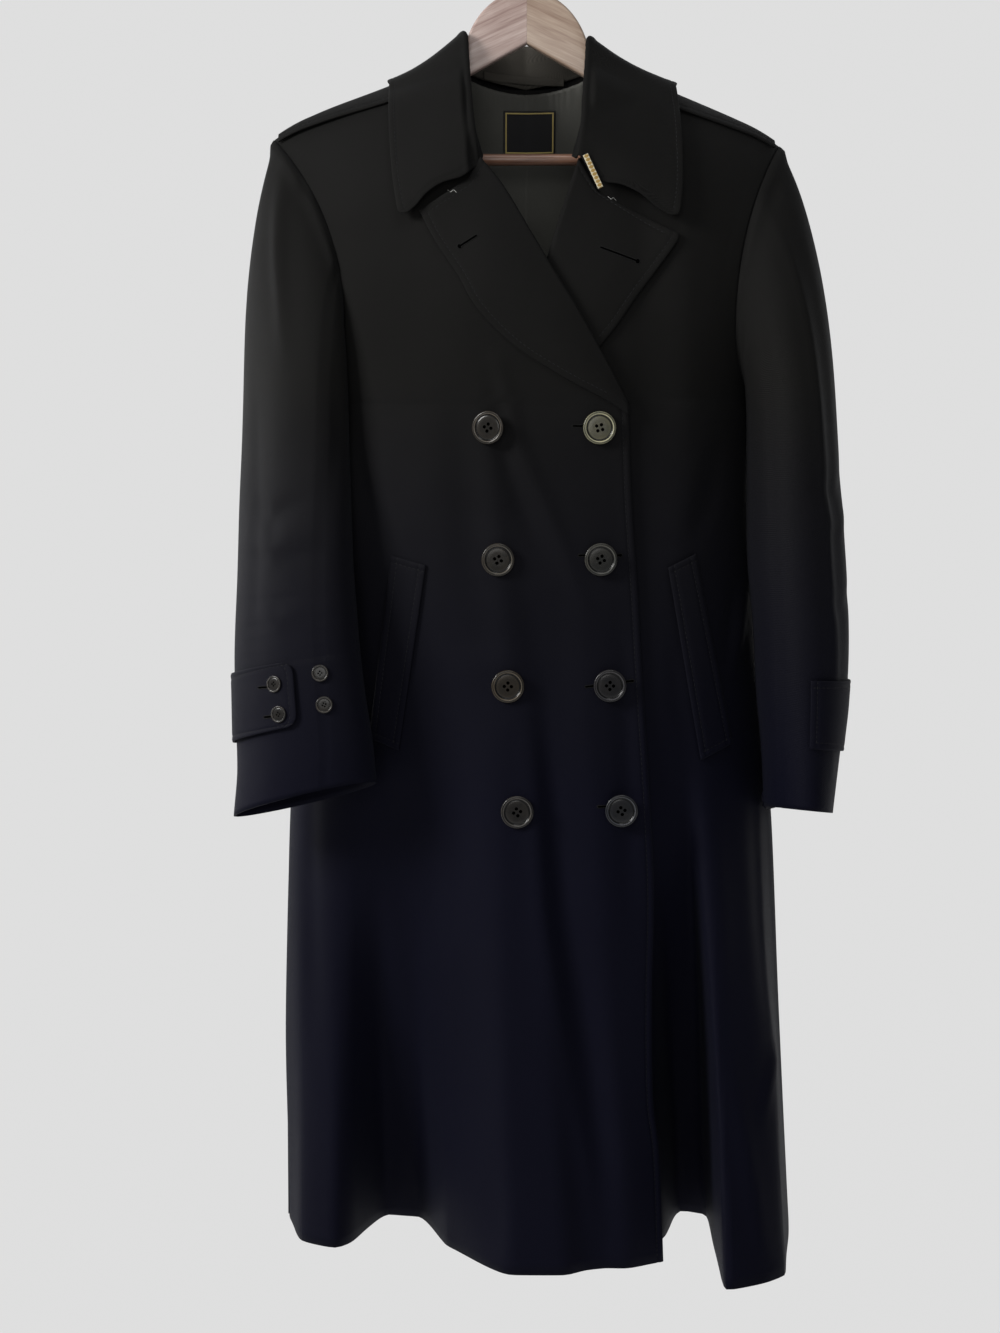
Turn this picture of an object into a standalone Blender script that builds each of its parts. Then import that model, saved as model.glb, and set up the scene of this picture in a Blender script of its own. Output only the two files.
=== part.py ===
"""A double-breasted military greatcoat hanging on a wooden hanger.

Numbers are millimetres and meshes are metres, +Z up. The front faces -Y, so the
wearer's right is at -X. The origin is the inner top of the hanger's hook, from
which everything hangs. The cloth panels are walls laid through worked-out
sections: SECTIONS gives the body's girth by height, and the fold tables give
the skirt's ridges and troughs.
"""

import math

import bmesh
import bpy
import numpy as np
from mathutils import Matrix, Vector
from mathutils.bvhtree import BVHTree

MM = 0.001

# Driving sizes
HEM_Z = -1190.0
UNDERARM_Z = -440.0
SHOULDER_TIP_X = 225.0
NECK_POINT_X = 66.0
NECK_POINT_Z = -136.0
SHOULDER_SLOPE = 0.43
LEAN = 0.008
PADDING = {-1: 3.0, 1: 1.2}
CLOTH = 2.0
SEAM_GAP = 0.3
SEAM_TURN = 1.3
ROUNDNESS = 2.2
SHOULDER_SOFTNESS = 50.0
SHOULDER_POWER = 0.75

# The body's girth by height, with half widths to each side and depths to front and back.
SECTION_COLUMNS = ("z", "right", "left", "front", "back")
SECTIONS = (
    (-140.0, 240.0, 244.0, 62.0, 46.0),
    (-240.0, 240.0, 244.0, 74.0, 50.0),
    (-340.0, 226.0, 230.0, 90.0, 55.0),
    (-440.0, 198.0, 203.0, 97.0, 57.0),
    (-600.0, 200.0, 206.0, 101.0, 59.0),
    (-800.0, 216.0, 224.0, 100.0, 63.0),
    (-1000.0, 221.0, 235.0, 90.0, 68.0),
    (-1195.0, 222.0, 246.0, 80.0, 74.0),
)

# Skirt folds. The four places across are those at the hem, where a fold starts, peaks and
# ends. drift moves them at the height where the fold begins, and lean tips the fold over.
FOLD_COLUMNS = (
    "name", "foot_a", "crest_a", "crest_b", "foot_b", "drift", "start_z", "depth", "power", "lean",
)
RIGHT_FRONT_FOLDS = (
    ("side ridge", -222.0, -200.0, -174.0, -146.0, 0.0, -780.0, 29.0, 1.2, 0.0),
    ("side trough", -160.0, -126.0, -101.0, -68.0, 0.0, -760.0, -66.0, 1.4, 0.0),
    ("centre ridge", -80.0, -12.0, 30.0, 260.0, -10.0, -640.0, 66.0, 1.1, 0.0),
    ("slanting trough", 30.0, 54.0, 64.0, 92.0, -45.0, -600.0, -9.0, 0.6, 0.0),
)
LEFT_FRONT_FOLDS = (
    ("deep trough", 122.0, 148.0, 170.0, 184.0, -34.0, -740.0, -56.0, 1.6, 0.0),
    ("forward crest", 167.0, 185.0, 238.0, 246.0, -32.0, -740.0, 122.0, 1.4, -16.0),
)
BACK_FOLDS = (
    ("right ridge", -165.0, -128.0, -110.0, -70.0, 10.0, -650.0, 16.0, 1.2, 0.0),
    ("centre trough", -52.0, -12.0, 12.0, 52.0, 0.0, -600.0, -14.0, 1.1, 0.0),
    ("left ridge", 72.0, 108.0, 130.0, 176.0, -12.0, -690.0, 18.0, 1.3, 0.0),
)


def rows_of(columns, rows):
    return [dict(zip(columns, row)) for row in rows]


SECTION_ROWS = rows_of(SECTION_COLUMNS, SECTIONS)


def clamp(value, low=0.0, high=1.0):
    return max(low, min(high, value))


def ease(value):
    value = clamp(value)
    return value * value * (3.0 - 2.0 * value)


def mix(a, b, share):
    return a + (b - a) * share


def through(places, values, at):
    """A smooth curve through values at rising places, read at one place."""
    if at <= places[0]:
        return values[0]
    if at >= places[-1]:
        return values[-1]
    k = int(np.searchsorted(places, at)) - 1
    k = max(0, min(len(places) - 2, k))
    step = places[k + 1] - places[k]
    share = (at - places[k]) / step
    before = max(k - 1, 0)
    after = min(k + 2, len(places) - 1)
    start = (values[k + 1] - values[before]) / (places[k + 1] - places[before]) * step
    end = (values[after] - values[k]) / (places[after] - places[k]) * step
    s2 = share * share
    s3 = s2 * share
    return (
        (2 * s3 - 3 * s2 + 1) * values[k]
        + (s3 - 2 * s2 + share) * start
        + (3 * s2 - 2 * s3) * values[k + 1]
        + (s3 - s2) * end
    )


def column_at(rows, name, z):
    """A column of a table whose rows go down in z, read smoothly at one height."""
    places = [-row["z"] for row in rows]
    values = [row[name] for row in rows]
    return through(places, values, -z)


# The body's surface
def ridge_z(x):
    """The height of the shoulder line, from the neck point out to the tip."""
    out = abs(x)
    rounding = 0.005 * max(0.0, out - 195.0) ** 2
    padding = PADDING[-1 if x < 0 else 1] * ease((out - 115.0) / 70.0)
    return NECK_POINT_Z - SHOULDER_SLOPE * (out - NECK_POINT_X) - rounding + padding - LEAN * x


def girth_share(x, z):
    """How much of its full depth the body has at x: 1 at the middle, 0 at the side seam."""
    width = column_at(SECTION_ROWS, "right" if x < 0 else "left", z)
    reach = clamp(abs(x) / width)
    return (1.0 - reach**ROUNDNESS) ** (1.0 / ROUNDNESS)


def shoulder_share(x, z):
    """How much of its full depth the body has below the shoulder line."""
    drop = max(0.0, ridge_z(x) - z)
    return (1.0 - math.exp(-drop / SHOULDER_SOFTNESS)) ** SHOULDER_POWER


def fold_push(folds, x, z):
    """How far folds push the cloth sideways and outwards at one place."""
    across = 0.0
    out = 0.0
    for row in folds:
        fold = dict(zip(FOLD_COLUMNS, row))
        grown = clamp((fold["start_z"] - z) / (fold["start_z"] - HEM_Z))
        if grown <= 0.0:
            continue
        here = x - fold["drift"] * (1.0 - grown)
        rise = ease((here - fold["foot_a"]) / (fold["crest_a"] - fold["foot_a"]))
        fall = ease((fold["foot_b"] - here) / (fold["foot_b"] - fold["crest_b"]))
        strength = min(rise, fall) * grown ** fold["power"]
        out += strength * fold["depth"]
        across += strength * fold["lean"]
    return across, out


def body_depth(x, z, side):
    return column_at(SECTION_ROWS, side, z) * girth_share(x, z) * shoulder_share(x, z)


def seam_inset(x, z):
    """Half the gap at a seam, wider where the walls turn towards each other."""
    return SEAM_GAP / 2 + SEAM_TURN * (1.0 - girth_share(x, z) * shoulder_share(x, z)) ** 6


def right_front_at(x, z):
    across, out = fold_push(RIGHT_FRONT_FOLDS, x, z)
    return np.array([x + across, -body_depth(x, z, "front") - out - seam_inset(x, z), z])


def front_edge_x(z):
    """The right front's closing edge, from the top button down to the hem."""
    heights = (444.0, 523.0, 609.0, 695.0, 790.0, 869.0, 957.0, 1047.0, 1091.0, 1190.0)
    places = (87.0, 90.0, 96.0, 101.0, 107.0, 110.5, 109.0, 110.5, 116.0, 120.0)
    return through(heights, places, -z)


def under_gap(x, z):
    """How far the left front lies behind the right one, fading out past the closing edge."""
    layered = mix(7.5, 5.0, ease((-z - 430.0) / 60.0))
    skirt = 40.0 * ease((-z - 800.0) / 390.0)
    past = ease((x - front_edge_x(z) - 6.0) / 50.0)
    return (layered + skirt) * (1.0 - past)


def left_front_at(x, z):
    across, out = fold_push(LEFT_FRONT_FOLDS, x, z)
    behind = under_gap(x, z) if z < -200.0 else under_gap(x, z) * ease((-z - 150.0) / 60.0)
    centre = fold_push(RIGHT_FRONT_FOLDS[2:], x, z)[1]
    centre *= 1.0 - ease((x - front_edge_x(z) + 10.0) / 60.0)
    depth = body_depth(x, z, "front") + out + centre
    return np.array([x + across, behind - depth - seam_inset(x, z), z])


def back_at(x, z):
    across, out = fold_push(BACK_FOLDS, x, z)
    return np.array([x + across, body_depth(x, z, "back") + out + seam_inset(x, z), z])


# Armholes
FRONT_ARMHOLE_X = {-1: 154.0, 1: 179.0}
BACK_ARMHOLE_X = {-1: 176.0, 1: 186.0}


def armhole_x(z, side, least):
    """The armhole's edge: in from the shoulder tip, down, and out to the underarm."""
    top = ridge_z(side * SHOULDER_TIP_X)
    share = clamp((top - z) / (top - UNDERARM_Z))
    under = column_at(SECTION_ROWS, "right" if side < 0 else "left", UNDERARM_Z)
    inward = least + (SHOULDER_TIP_X - least) * (1.0 - share) ** 3
    return side * (inward + (under - least) * share**8)


def side_line(side, least):
    """A panel's outer edge: armhole above, side seam below."""

    def at(z):
        if z > UNDERARM_Z:
            return armhole_x(z, side, least)
        return side * column_at(SECTION_ROWS, "right" if side < 0 else "left", z)

    return at


# Neckline, roll lines and closing edges
def right_inner_line(z):
    places = (140.0, 175.0, 229.0, 266.0, 328.0, 396.0, 444.0)
    values = (-66.0, -55.0, -42.0, -15.0, 22.0, 61.0, 87.0)
    if z < -444.0:
        return front_edge_x(z)
    return through(places, values, -z)


def left_inner_line(z):
    places = (140.0, 175.0, 227.0, 291.0, 340.0, 440.0, 500.0, 1190.0)
    values = (66.0, 56.0, 46.0, 27.5, 12.0, -16.0, -38.0, -46.0)
    return through(places, values, -z)


def back_neck_z(x):
    dip = 16.0 * (1.0 - (abs(x) / NECK_POINT_X) ** 2)
    return NECK_POINT_Z - LEAN * x - dip


# Meshes
def by_length(points, count):
    """The same line with points at even lengths along it."""
    points = np.array(points)
    steps = np.linalg.norm(np.diff(points, axis=0), axis=1)
    run = np.concatenate([[0.0], np.cumsum(steps)])
    wanted = np.linspace(0.0, run[-1], count + 1)
    return np.stack([np.interp(wanted, run, points[:, k]) for k in range(3)], axis=1)


def panel_net(surface, outer, inner, tops, rows, columns):
    """Rows of points over a panel, from its shoulder to the hem and from side to edge."""
    upper = rows * 5 // 11
    net = []
    for j in range(rows + 1):
        if j <= upper:
            share = (j / upper) ** 1.25
            outer_z = mix(tops[0], UNDERARM_Z, share)
            inner_z = mix(tops[1], UNDERARM_Z - 4.0 * share, share)
        else:
            share = (j - upper) / (rows - upper)
            outer_z = mix(UNDERARM_Z, HEM_Z, share)
            inner_z = mix(UNDERARM_Z - 4.0, HEM_Z, share)
        outer_x = outer(outer_z)
        inner_x = inner(inner_z)
        line = []
        for k in range(161):
            across = 1.0 - math.cos(math.pi / 2 * k / 160)
            line.append(surface(mix(outer_x, inner_x, across), mix(outer_z, inner_z, across)))
        net.append(by_length(line, columns))
    return np.array(net)


def material(name, colour, roughness, metallic=0.0):
    made = bpy.data.materials.get(name)
    if made is None:
        made = bpy.data.materials.new(name)
        made.use_nodes = True
        shader = made.node_tree.nodes["Principled BSDF"]
        shader.inputs["Base Color"].default_value = (*colour, 1.0)
        shader.inputs["Roughness"].default_value = roughness
        shader.inputs["Metallic"].default_value = metallic
    return made


def gabardine():
    return material("gabardine", (0.012, 0.013, 0.018), 0.85)


def lining_satin():
    return material("lining_satin", (0.022, 0.028, 0.026), 0.45)


def button_horn():
    return material("button_horn", (0.015, 0.010, 0.009), 0.2)


def hanger_wood():
    return material("hanger_wood", (0.42, 0.22, 0.15), 0.45)


def hook_steel():
    return material("hook_steel", (0.6, 0.6, 0.6), 0.25, 1.0)


def gold_tape():
    return material("gold_tape", (0.55, 0.45, 0.22), 0.6)


def object_from(name, bm, finish):
    mesh = bpy.data.meshes.new(name)
    bm.to_mesh(mesh)
    bm.free()
    mesh.materials.append(finish)
    made = bpy.data.objects.new(name, mesh)
    bpy.context.scene.collection.objects.link(made)
    return made


def cloth_piece(name, net, outward, finish, thickness=CLOTH):
    """A cloth wall whose outer face is the net, with its thickness on the inner side."""
    rows, columns = net.shape[0] - 1, net.shape[1] - 1
    bm = bmesh.new()
    bmesh.ops.create_grid(bm, x_segments=columns, y_segments=rows, size=1.0)
    for vert in bm.verts:
        i = round((vert.co.x + 1.0) / 2.0 * columns)
        j = round((vert.co.y + 1.0) / 2.0 * rows)
        vert.co = Vector(net[j, i]) * MM
    bm.normal_update()
    middle = min(bm.faces, key=lambda face: (face.calc_center_median() - outward[0]).length)
    if middle.normal.dot(outward[1]) < 0:
        bmesh.ops.reverse_faces(bm, faces=bm.faces)
    made = object_from(name, bm, finish)
    wall = made.modifiers.new("wall", "SOLIDIFY")
    wall.thickness = thickness * MM
    wall.offset = -1.0
    wall.use_even_offset = False
    made.data.shade_smooth()
    return made


def facing(x, y, z, nx, ny, nz):
    """A place in millimetres and the way that the cloth faces there."""
    return Vector((x, y, z)) * MM, Vector((nx, ny, nz))


# Body panels
def make_fronts():
    right = panel_net(
        right_front_at,
        side_line(-1, FRONT_ARMHOLE_X[-1]),
        right_inner_line,
        (ridge_z(-SHOULDER_TIP_X), ridge_z(-NECK_POINT_X)),
        22,
        15,
    )
    cloth_piece("right_front", right, facing(-20, -100, -700, 0, -1, 0), gabardine())
    left = panel_net(
        left_front_at,
        side_line(1, FRONT_ARMHOLE_X[1]),
        left_inner_line,
        (ridge_z(SHOULDER_TIP_X), ridge_z(NECK_POINT_X)),
        22,
        17,
    )
    cloth_piece("left_front", left, facing(60, -95, -700, 0, -1, 0), gabardine())


def make_back():
    """The back in one piece, its two halves meeting in a row of shared points."""
    halves = []
    for side in (-1, 1):
        net = panel_net(
            back_at,
            side_line(side, BACK_ARMHOLE_X[side]),
            lambda z: 0.0,
            (ridge_z(side * SHOULDER_TIP_X), back_neck_z(0.0)),
            22,
            10,
        )
        halves.append(net)
    for side, net in zip((-1, 1), halves):
        net[0] = back_top_row(side, net.shape[1] - 1)
    whole = np.concatenate([halves[0], halves[1][:, ::-1][:, 1:]], axis=1)
    cloth_piece("back", whole, facing(0, 60, -700, 0, 1, 0), gabardine())


def back_top_row(side, columns):
    """The back's top edge: the shoulder seam in to the neck point, then the neckline."""
    line = []
    for k in range(81):
        x = mix(SHOULDER_TIP_X, 0.0, k / 80)
        if x > NECK_POINT_X:
            z = ridge_z(side * x) - 0.01
        else:
            z = back_neck_z(side * x)
        line.append(back_at(side * x, z) if x > NECK_POINT_X else neck_back_at(side * x, z))
    return by_length(line, columns)


def neck_back_at(x, z):
    depth = 46.0 * math.sqrt(max(0.0, 1.0 - (x / NECK_POINT_X) ** 2)) + 1.0
    return np.array([x, depth, z])


# Sleeves. Rings by height: centre, half length and half thickness of the flattened tube,
# the turn of its long axis from +X, and the cuff's slope along X and Y.
RING_COLUMNS = ("z", "x", "y", "long", "short", "turn", "slope_x", "slope_y")
RIGHT_RINGS = (
    (-470.0, -204.0, -44.0, 66.0, 38.0, -50.0, 0.0, 0.0),
    (-575.0, -203.5, -72.0, 62.0, 38.0, -42.0, 0.04, -0.04),
    (-645.0, -200.5, -90.0, 62.0, 38.0, -34.0, 0.12, -0.12),
    (-700.0, -196.5, -100.0, 62.0, 38.0, -27.0, 0.17, -0.17),
    (-745.0, -192.5, -106.0, 62.5, 38.0, -20.0, 0.20, -0.21),
    (-781.0, -192.5, -110.0, 64.0, 38.0, -14.0, 0.22, -0.25),
)
LEFT_RINGS = (
    (-470.0, 234.0, -40.0, 60.0, 41.0, 84.0, 0.0, 0.0),
    (-575.0, 238.0, -50.0, 59.0, 43.0, 84.0, 0.0, 0.0),
    (-645.0, 242.0, -56.0, 59.0, 41.0, 86.0, -0.02, -0.02),
    (-700.0, 242.5, -58.0, 60.0, 38.5, 88.0, -0.05, -0.06),
    (-745.0, 242.0, -58.0, 61.0, 34.0, 90.0, -0.08, -0.10),
    (-798.0, 240.5, -58.0, 63.0, 30.0, 92.0, -0.10, -0.14),
)
RINGS = {
    -1: rows_of(RING_COLUMNS, RIGHT_RINGS),
    1: rows_of(RING_COLUMNS, LEFT_RINGS),
}
SLEEVE_TOP_RING = -470.0
BODY_REST_GAP = 7.5
CAP_SWELL = {-1: 3.0, 1: -6.0}
UNDERARM_TURN = 236.0
ARMHOLE_GAP = 2.7


def off_the_body(point, side, angle):
    """A sleeve point kept in front of the body, or beside it past the underarm's line."""
    x, y, z = point
    width = column_at(SECTION_ROWS, "right" if side < 0 else "left", z)
    if abs(x) > width + BODY_REST_GAP:
        return point
    surface = right_front_at if side < 0 else left_front_at
    inner = side * min(abs(x), width - 0.5)
    limit = surface(inner, z)[1] - BODY_REST_GAP
    if y <= limit:
        return point
    if math.degrees(angle) % 360.0 > UNDERARM_TURN:
        return np.array([side * (width + BODY_REST_GAP), y, z])
    return np.array([x, limit, z])


def ring_at(side, z, angle):
    """A point of the sleeve below the armhole. Angle 0 is outward, 90 forward, 180 inward."""
    rows = RINGS[side]
    ring = {name: column_at(rows, name, z) for name in RING_COLUMNS[1:]}
    turn = math.radians(ring["turn"])
    way = np.array([side * math.cos(angle), -math.sin(angle)])
    along = way @ np.array([math.cos(turn), math.sin(turn)])
    across = way @ np.array([-math.sin(turn), math.cos(turn)])
    reach = 1.0 / math.sqrt((along / ring["long"]) ** 2 + (across / ring["short"]) ** 2)
    x = ring["x"] + reach * way[0]
    y = ring["y"] + reach * way[1]
    slant = ring["slope_x"] * (x - ring["x"]) + ring["slope_y"] * (y - ring["y"])
    return off_the_body(np.array([x, y, z + slant]), side, angle)


def armhole_at(side, angle):
    """A point of the armhole's loop: top at angle 0, then the front, then the underarm."""
    turn = math.degrees(angle) % 360.0
    front = turn <= UNDERARM_TURN
    share = turn / UNDERARM_TURN if front else (360.0 - turn) / (360.0 - UNDERARM_TURN)
    drop = 0.5 - 0.5 * math.cos(math.pi * share)
    top = ridge_z(side * SHOULDER_TIP_X)
    z = mix(top, UNDERARM_Z, drop)
    least = FRONT_ARMHOLE_X[side] if front else BACK_ARMHOLE_X[side]
    x = armhole_x(z, side, least)
    surface = back_at if not front else (right_front_at if side < 0 else left_front_at)
    point = surface(x, z)
    point[0] += side * ARMHOLE_GAP
    point[2] -= ARMHOLE_GAP * ease((drop - 0.8) / 0.2)
    return point


def sleeve_at(side, down, angle):
    """A point of the whole sleeve: down runs 0 to 1 through the cap, then 1 to 2 to the cuff."""
    if down >= 1.0:
        cuff = RINGS[side][-1]["z"]
        return ring_at(side, mix(SLEEVE_TOP_RING, cuff, down - 1.0), angle)
    start = armhole_at(side, angle)
    end = ring_at(side, SLEEVE_TOP_RING, angle)
    bend = np.array([mix(start[0], end[0], 0.9), mix(start[1], end[1], 0.75), 0.0])
    bend[2] = start[2] - 0.24 * (start[2] - end[2])
    bend[0] += side * CAP_SWELL[side] * max(0.0, math.cos(angle))
    rest = 1.0 - down
    point = rest * rest * start + 2 * rest * down * bend + down * down * end
    if down < 0.12 or point[2] > -300.0:
        return point
    return off_the_body(point, side, angle)


def sleeve_net(side, first, last, columns):
    downs = [0.0, 0.07, 0.18, 0.32, 0.48, 0.64, 0.8, 1.0]
    downs += [1.0 + k / 9 for k in range(1, 10)]
    net = []
    for down in downs:
        line = []
        for k in range(columns + 1):
            angle = math.radians(mix(first, last, k / columns))
            line.append(sleeve_at(side, down, angle))
        net.append(line)
    return np.array(net)


# Where the two pieces of each sleeve are seamed, in degrees round the tube.
FRONT_SEAM = 118.0
BACK_SEAM = -62.0
SEAM_SHARE = 1.2


def make_sleeves():
    for side, word in ((-1, "right"), (1, "left")):
        top = sleeve_net(side, BACK_SEAM + SEAM_SHARE, FRONT_SEAM - SEAM_SHARE, 14)
        under = sleeve_net(side, FRONT_SEAM + SEAM_SHARE, 360.0 + BACK_SEAM - SEAM_SHARE, 12)
        out = facing(side * 250, -40, -500, side, 0, 0)
        cloth_piece(f"{word}_top_sleeve", top, out, gabardine())
        behind = facing(side * 240, 40, -600, 0, 1, 0)
        cloth_piece(f"{word}_under_sleeve", under, behind, gabardine())


# Collar. Stations from the gorge round to the centre back: the neck seam, the roll and the
# fall's edge. A front station takes its depth from the front under it.
STATION_COLUMNS = (
    "name", "base_x", "base_y", "base_z", "roll_x", "roll_y", "roll_z", "edge_x", "edge_y", "edge_z",
    "shift",
)
COLLAR_STATIONS = (
    ("gorge", 38.0, -61.0, -228.0, 44.0, -69.8, -226.0, 120.8, -75.0, -279.5, 10.0),
    ("front low", 45.0, -54.0, -203.0, 48.5, -62.0, -199.0, 125.0, -66.0, -250.0, 9.0),
    ("front middle", 51.5, -35.0, -174.0, 51.5, -42.0, -163.0, 127.0, -50.0, -212.0, 7.5),
    ("front high", 57.5, -18.0, -151.0, 53.5, -24.0, -133.0, 127.5, -28.0, -177.0, 6.0),
    ("peak", 61.5, -8.0, -138.0, 55.0, -13.0, -113.5, 127.0, -9.0, -155.0, 5.0),
    ("shoulder", 63.5, 3.0, -135.0, 61.0, 5.0, -114.5, 126.0, 9.0, -155.5, 5.0),
    ("back quarter", 46.0, 30.0, -143.0, 44.0, 34.0, -112.0, 86.0, 52.0, -170.0, 4.0),
    ("centre back", 0.0, 42.5, -152.0, 0.0, 45.0, -112.0, 0.0, 62.0, -181.0, 0.0),
)
ROLL_LEAN = 0.03
COLLAR_CLEARANCE = 9.5
FALL_SWELL = 2.5
FALL_SAG = 4.5
GORGE_PLACES = (0.0, 0.13, 0.377, 0.584, 0.74, 0.9, 1.0)
GORGE_RISES = {
    -1: (0.0, -13.0, -5.5, -4.0, -7.0, -6.0, -3.0),
    1: (0.0, -11.0, -4.0, -2.5, -5.5, -4.5, -1.5),
}


def collar_station(share):
    """The three corners of the collar's section: share 0 at one gorge, 2 at the other."""
    rows = rows_of(STATION_COLUMNS, COLLAR_STATIONS)
    side = -1 if share < 1.0 else 1
    place = (share if share < 1.0 else 2.0 - share) * (len(rows) - 1)
    places = list(range(len(rows)))
    corners = []
    for corner in ("base", "roll", "edge"):
        xyz = [through(places, [row[f"{corner}_{axis}"] for row in rows], place) for axis in "xyz"]
        xyz[0] *= side
        xyz[2] -= LEAN * xyz[0]
        if corner == "edge":
            xyz[0] += through(places, [row["shift"] for row in rows], place)
        if corner == "roll":
            xyz[2] -= ROLL_LEAN * xyz[0]
        corners.append(np.array(xyz))
    return side, corners


def clear_of_panels(point, gap):
    """Moves a point of the fall out until it clears the panel under it."""
    x, y, z = point
    if z > ridge_z(x) - 1.0:
        return point
    if y < 4.0:
        surface = right_front_at if x < 0 else left_front_at
        return np.array([x, min(y, surface(x, z)[1] - gap), z])
    return np.array([x, max(y, back_at(x, z)[1] + gap), z])


def collar_row(share):
    side, (base, roll, edge) = collar_station(share)
    out = edge - base
    out[2] = 0.0
    out /= np.linalg.norm(out)
    fold = 3.2
    inner = roll - out * fold - np.array([0.0, 0.0, fold])
    outer = roll + out * fold - np.array([0.0, 0.0, fold])
    line = [base, (base + inner) / 2, inner, roll, outer]
    near_gorge = ease(1.0 - 9.0 * min(share, 2.0 - share))
    station = min(share, 2.0 - share) * (len(COLLAR_STATIONS) - 1)
    on_shoulder = math.exp(-(((station - 4.5) / 1.1) ** 2))
    for k in range(1, 6):
        t = k / 5
        arch = math.sin(math.pi * t)
        point = mix(outer, edge, t) + out * FALL_SWELL * arch * (1.0 - on_shoulder)
        point[2] += through(GORGE_PLACES, GORGE_RISES[side], t) * near_gorge
        point[2] -= FALL_SAG * arch * on_shoulder
        line.append(clear_of_panels(point, COLLAR_CLEARANCE))
    return line


def make_collar():
    count = 28
    net = np.array([collar_row(2.0 * k / count) for k in range(count + 1)])
    cloth_piece("collar", net, facing(0, 60, -170, 0, 1, 0), gabardine())


# Lapels. Rows from the gorge to the break: the roll, and the outer edge.
LAPEL_COLUMNS = ("roll_x", "roll_z", "edge_x", "edge_z")
RIGHT_LAPEL_ROWS = (
    (-41.5, -231.0, -93.0, -276.0),
    (-22.0, -256.0, -79.5, -302.0),
    (0.0, -293.0, -60.5, -331.0),
    (20.0, -327.0, -43.0, -361.0),
    (42.0, -363.0, -12.0, -392.0),
    (60.0, -395.0, 27.0, -417.0),
    (76.0, -424.0, 66.0, -438.0),
    (86.5, -442.5, 87.0, -451.0),
)
LEFT_LAPEL_ROWS = (
    (45.5, -231.0, 131.0, -295.0),
    (38.0, -256.0, 128.0, -303.0),
    (28.0, -288.0, 112.0, -325.0),
    (19.0, -318.0, 94.0, -349.0),
    (9.0, -352.0, 73.0, -379.0),
    (-1.0, -388.0, 46.0, -408.0),
    (-9.0, -414.0, 14.0, -426.0),
    (-15.0, -436.0, -14.0, -440.0),
)
LAPEL_DIPS = {-1: 9.0, 1: 17.0}


def lapel_net(side, rows_table, surface, lift, bulge):
    rows = rows_of(LAPEL_COLUMNS, rows_table)
    places = list(range(len(rows)))
    net = []
    for j in range(15):
        at = j / 14 * (len(rows) - 1)
        row = {name: through(places, [r[name] for r in rows], at) for name in LAPEL_COLUMNS}
        line = []
        for k in range(8):
            t = k / 7
            x = mix(row["roll_x"], row["edge_x"], t)
            z = mix(row["roll_z"], row["edge_z"], t)
            z -= LAPEL_DIPS[side] * min(t / 0.18, (1.0 - t) / 0.82) * max(0.0, 1.0 - at / 0.8)
            swell = bulge * math.sin(math.pi * t) * math.sin(math.pi * clamp(at / 7.0, 0.08, 0.92))
            line.append(surface(x, z) - np.array([0.0, lift + swell, 0.0]))
        net.append(line)
    return np.array(net)


def make_lapels():
    right = lapel_net(-1, RIGHT_LAPEL_ROWS, right_front_at, 2.5, 3.0)
    cloth_piece("right_lapel", right, facing(0, -95, -360, 0, -1, 0), gabardine())
    left = lapel_net(1, LEFT_LAPEL_ROWS, left_front_at, 3.0, 0.8)
    cloth_piece("left_lapel", left, facing(60, -95, -320, 0, -1, 0), gabardine())


# Shoulder straps
EPAULETTE_INNER_X = 100.0
EPAULETTE_OUTER_X = 221.0
STRAP_LIFT = 2.4


def make_epaulettes():
    for side, word in ((-1, "right"), (1, "left")):
        net = []
        for j in range(9):
            x = side * mix(EPAULETTE_INNER_X, EPAULETTE_OUTER_X, j / 8)
            reach = mix(21.0, 8.0, j / 8)
            line = []
            for k in range(11):
                w = mix(-1.0, 1.0, k / 10)
                z = ridge_z(x) - reach * abs(w) ** 1.7 - 0.02
                if w < 0:
                    surface = right_front_at if side < 0 else left_front_at
                    point = surface(x, z) - np.array([0.0, 2.6 * abs(w) ** 0.5, 0.0])
                else:
                    point = back_at(x, z) + np.array([0.0, 2.6 * abs(w) ** 0.5, 0.0])
                point[2] += STRAP_LIFT
                line.append(point)
            net.append(line)
        out = facing(side * 160, 0, -180, 0, 0, 1)
        cloth_piece(f"{word}_epaulette", np.array(net), out, gabardine(), 1.8)


# Pocket welts: the four corners on each front.
WELT_LIFT = {-1: 2.4, 1: 3.4}
WELTS = {
    -1: ((-118.0, -571.0), (-87.5, -579.5), (-138.5, -731.0), (-112.0, -741.0)),
    1: ((147.0, -570.0), (122.0, -582.0), (182.0, -738.0), (152.5, -751.0)),
}


def make_welts():
    for side, word in ((-1, "right"), (1, "left")):
        outer_top, inner_top, outer_low, inner_low = WELTS[side]
        surface = right_front_at if side < 0 else left_front_at
        net = []
        for j in range(9):
            v = j / 8
            line = []
            for k in range(4):
                u = k / 3
                x = mix(mix(outer_top[0], outer_low[0], v), mix(inner_top[0], inner_low[0], v), u)
                z = mix(mix(outer_top[1], outer_low[1], v), mix(inner_top[1], inner_low[1], v), u)
                line.append(surface(x, z) - np.array([0.0, WELT_LIFT[side], 0.0]))
            net.append(line)
        out = facing(side * 120, -80, -660, 0, -1, 0)
        cloth_piece(f"{word}_pocket_welt", np.array(net), out, gabardine(), 1.8)


# Cuff tabs, in degrees round the sleeve and heights at the sleeve's middle
TABS = {
    -1: {"first": -52.0, "last": 92.0, "top": -665.0, "low": -720.5},
    1: {"first": -94.0, "last": 91.0, "top": -680.0, "low": -742.0},
}


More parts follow.
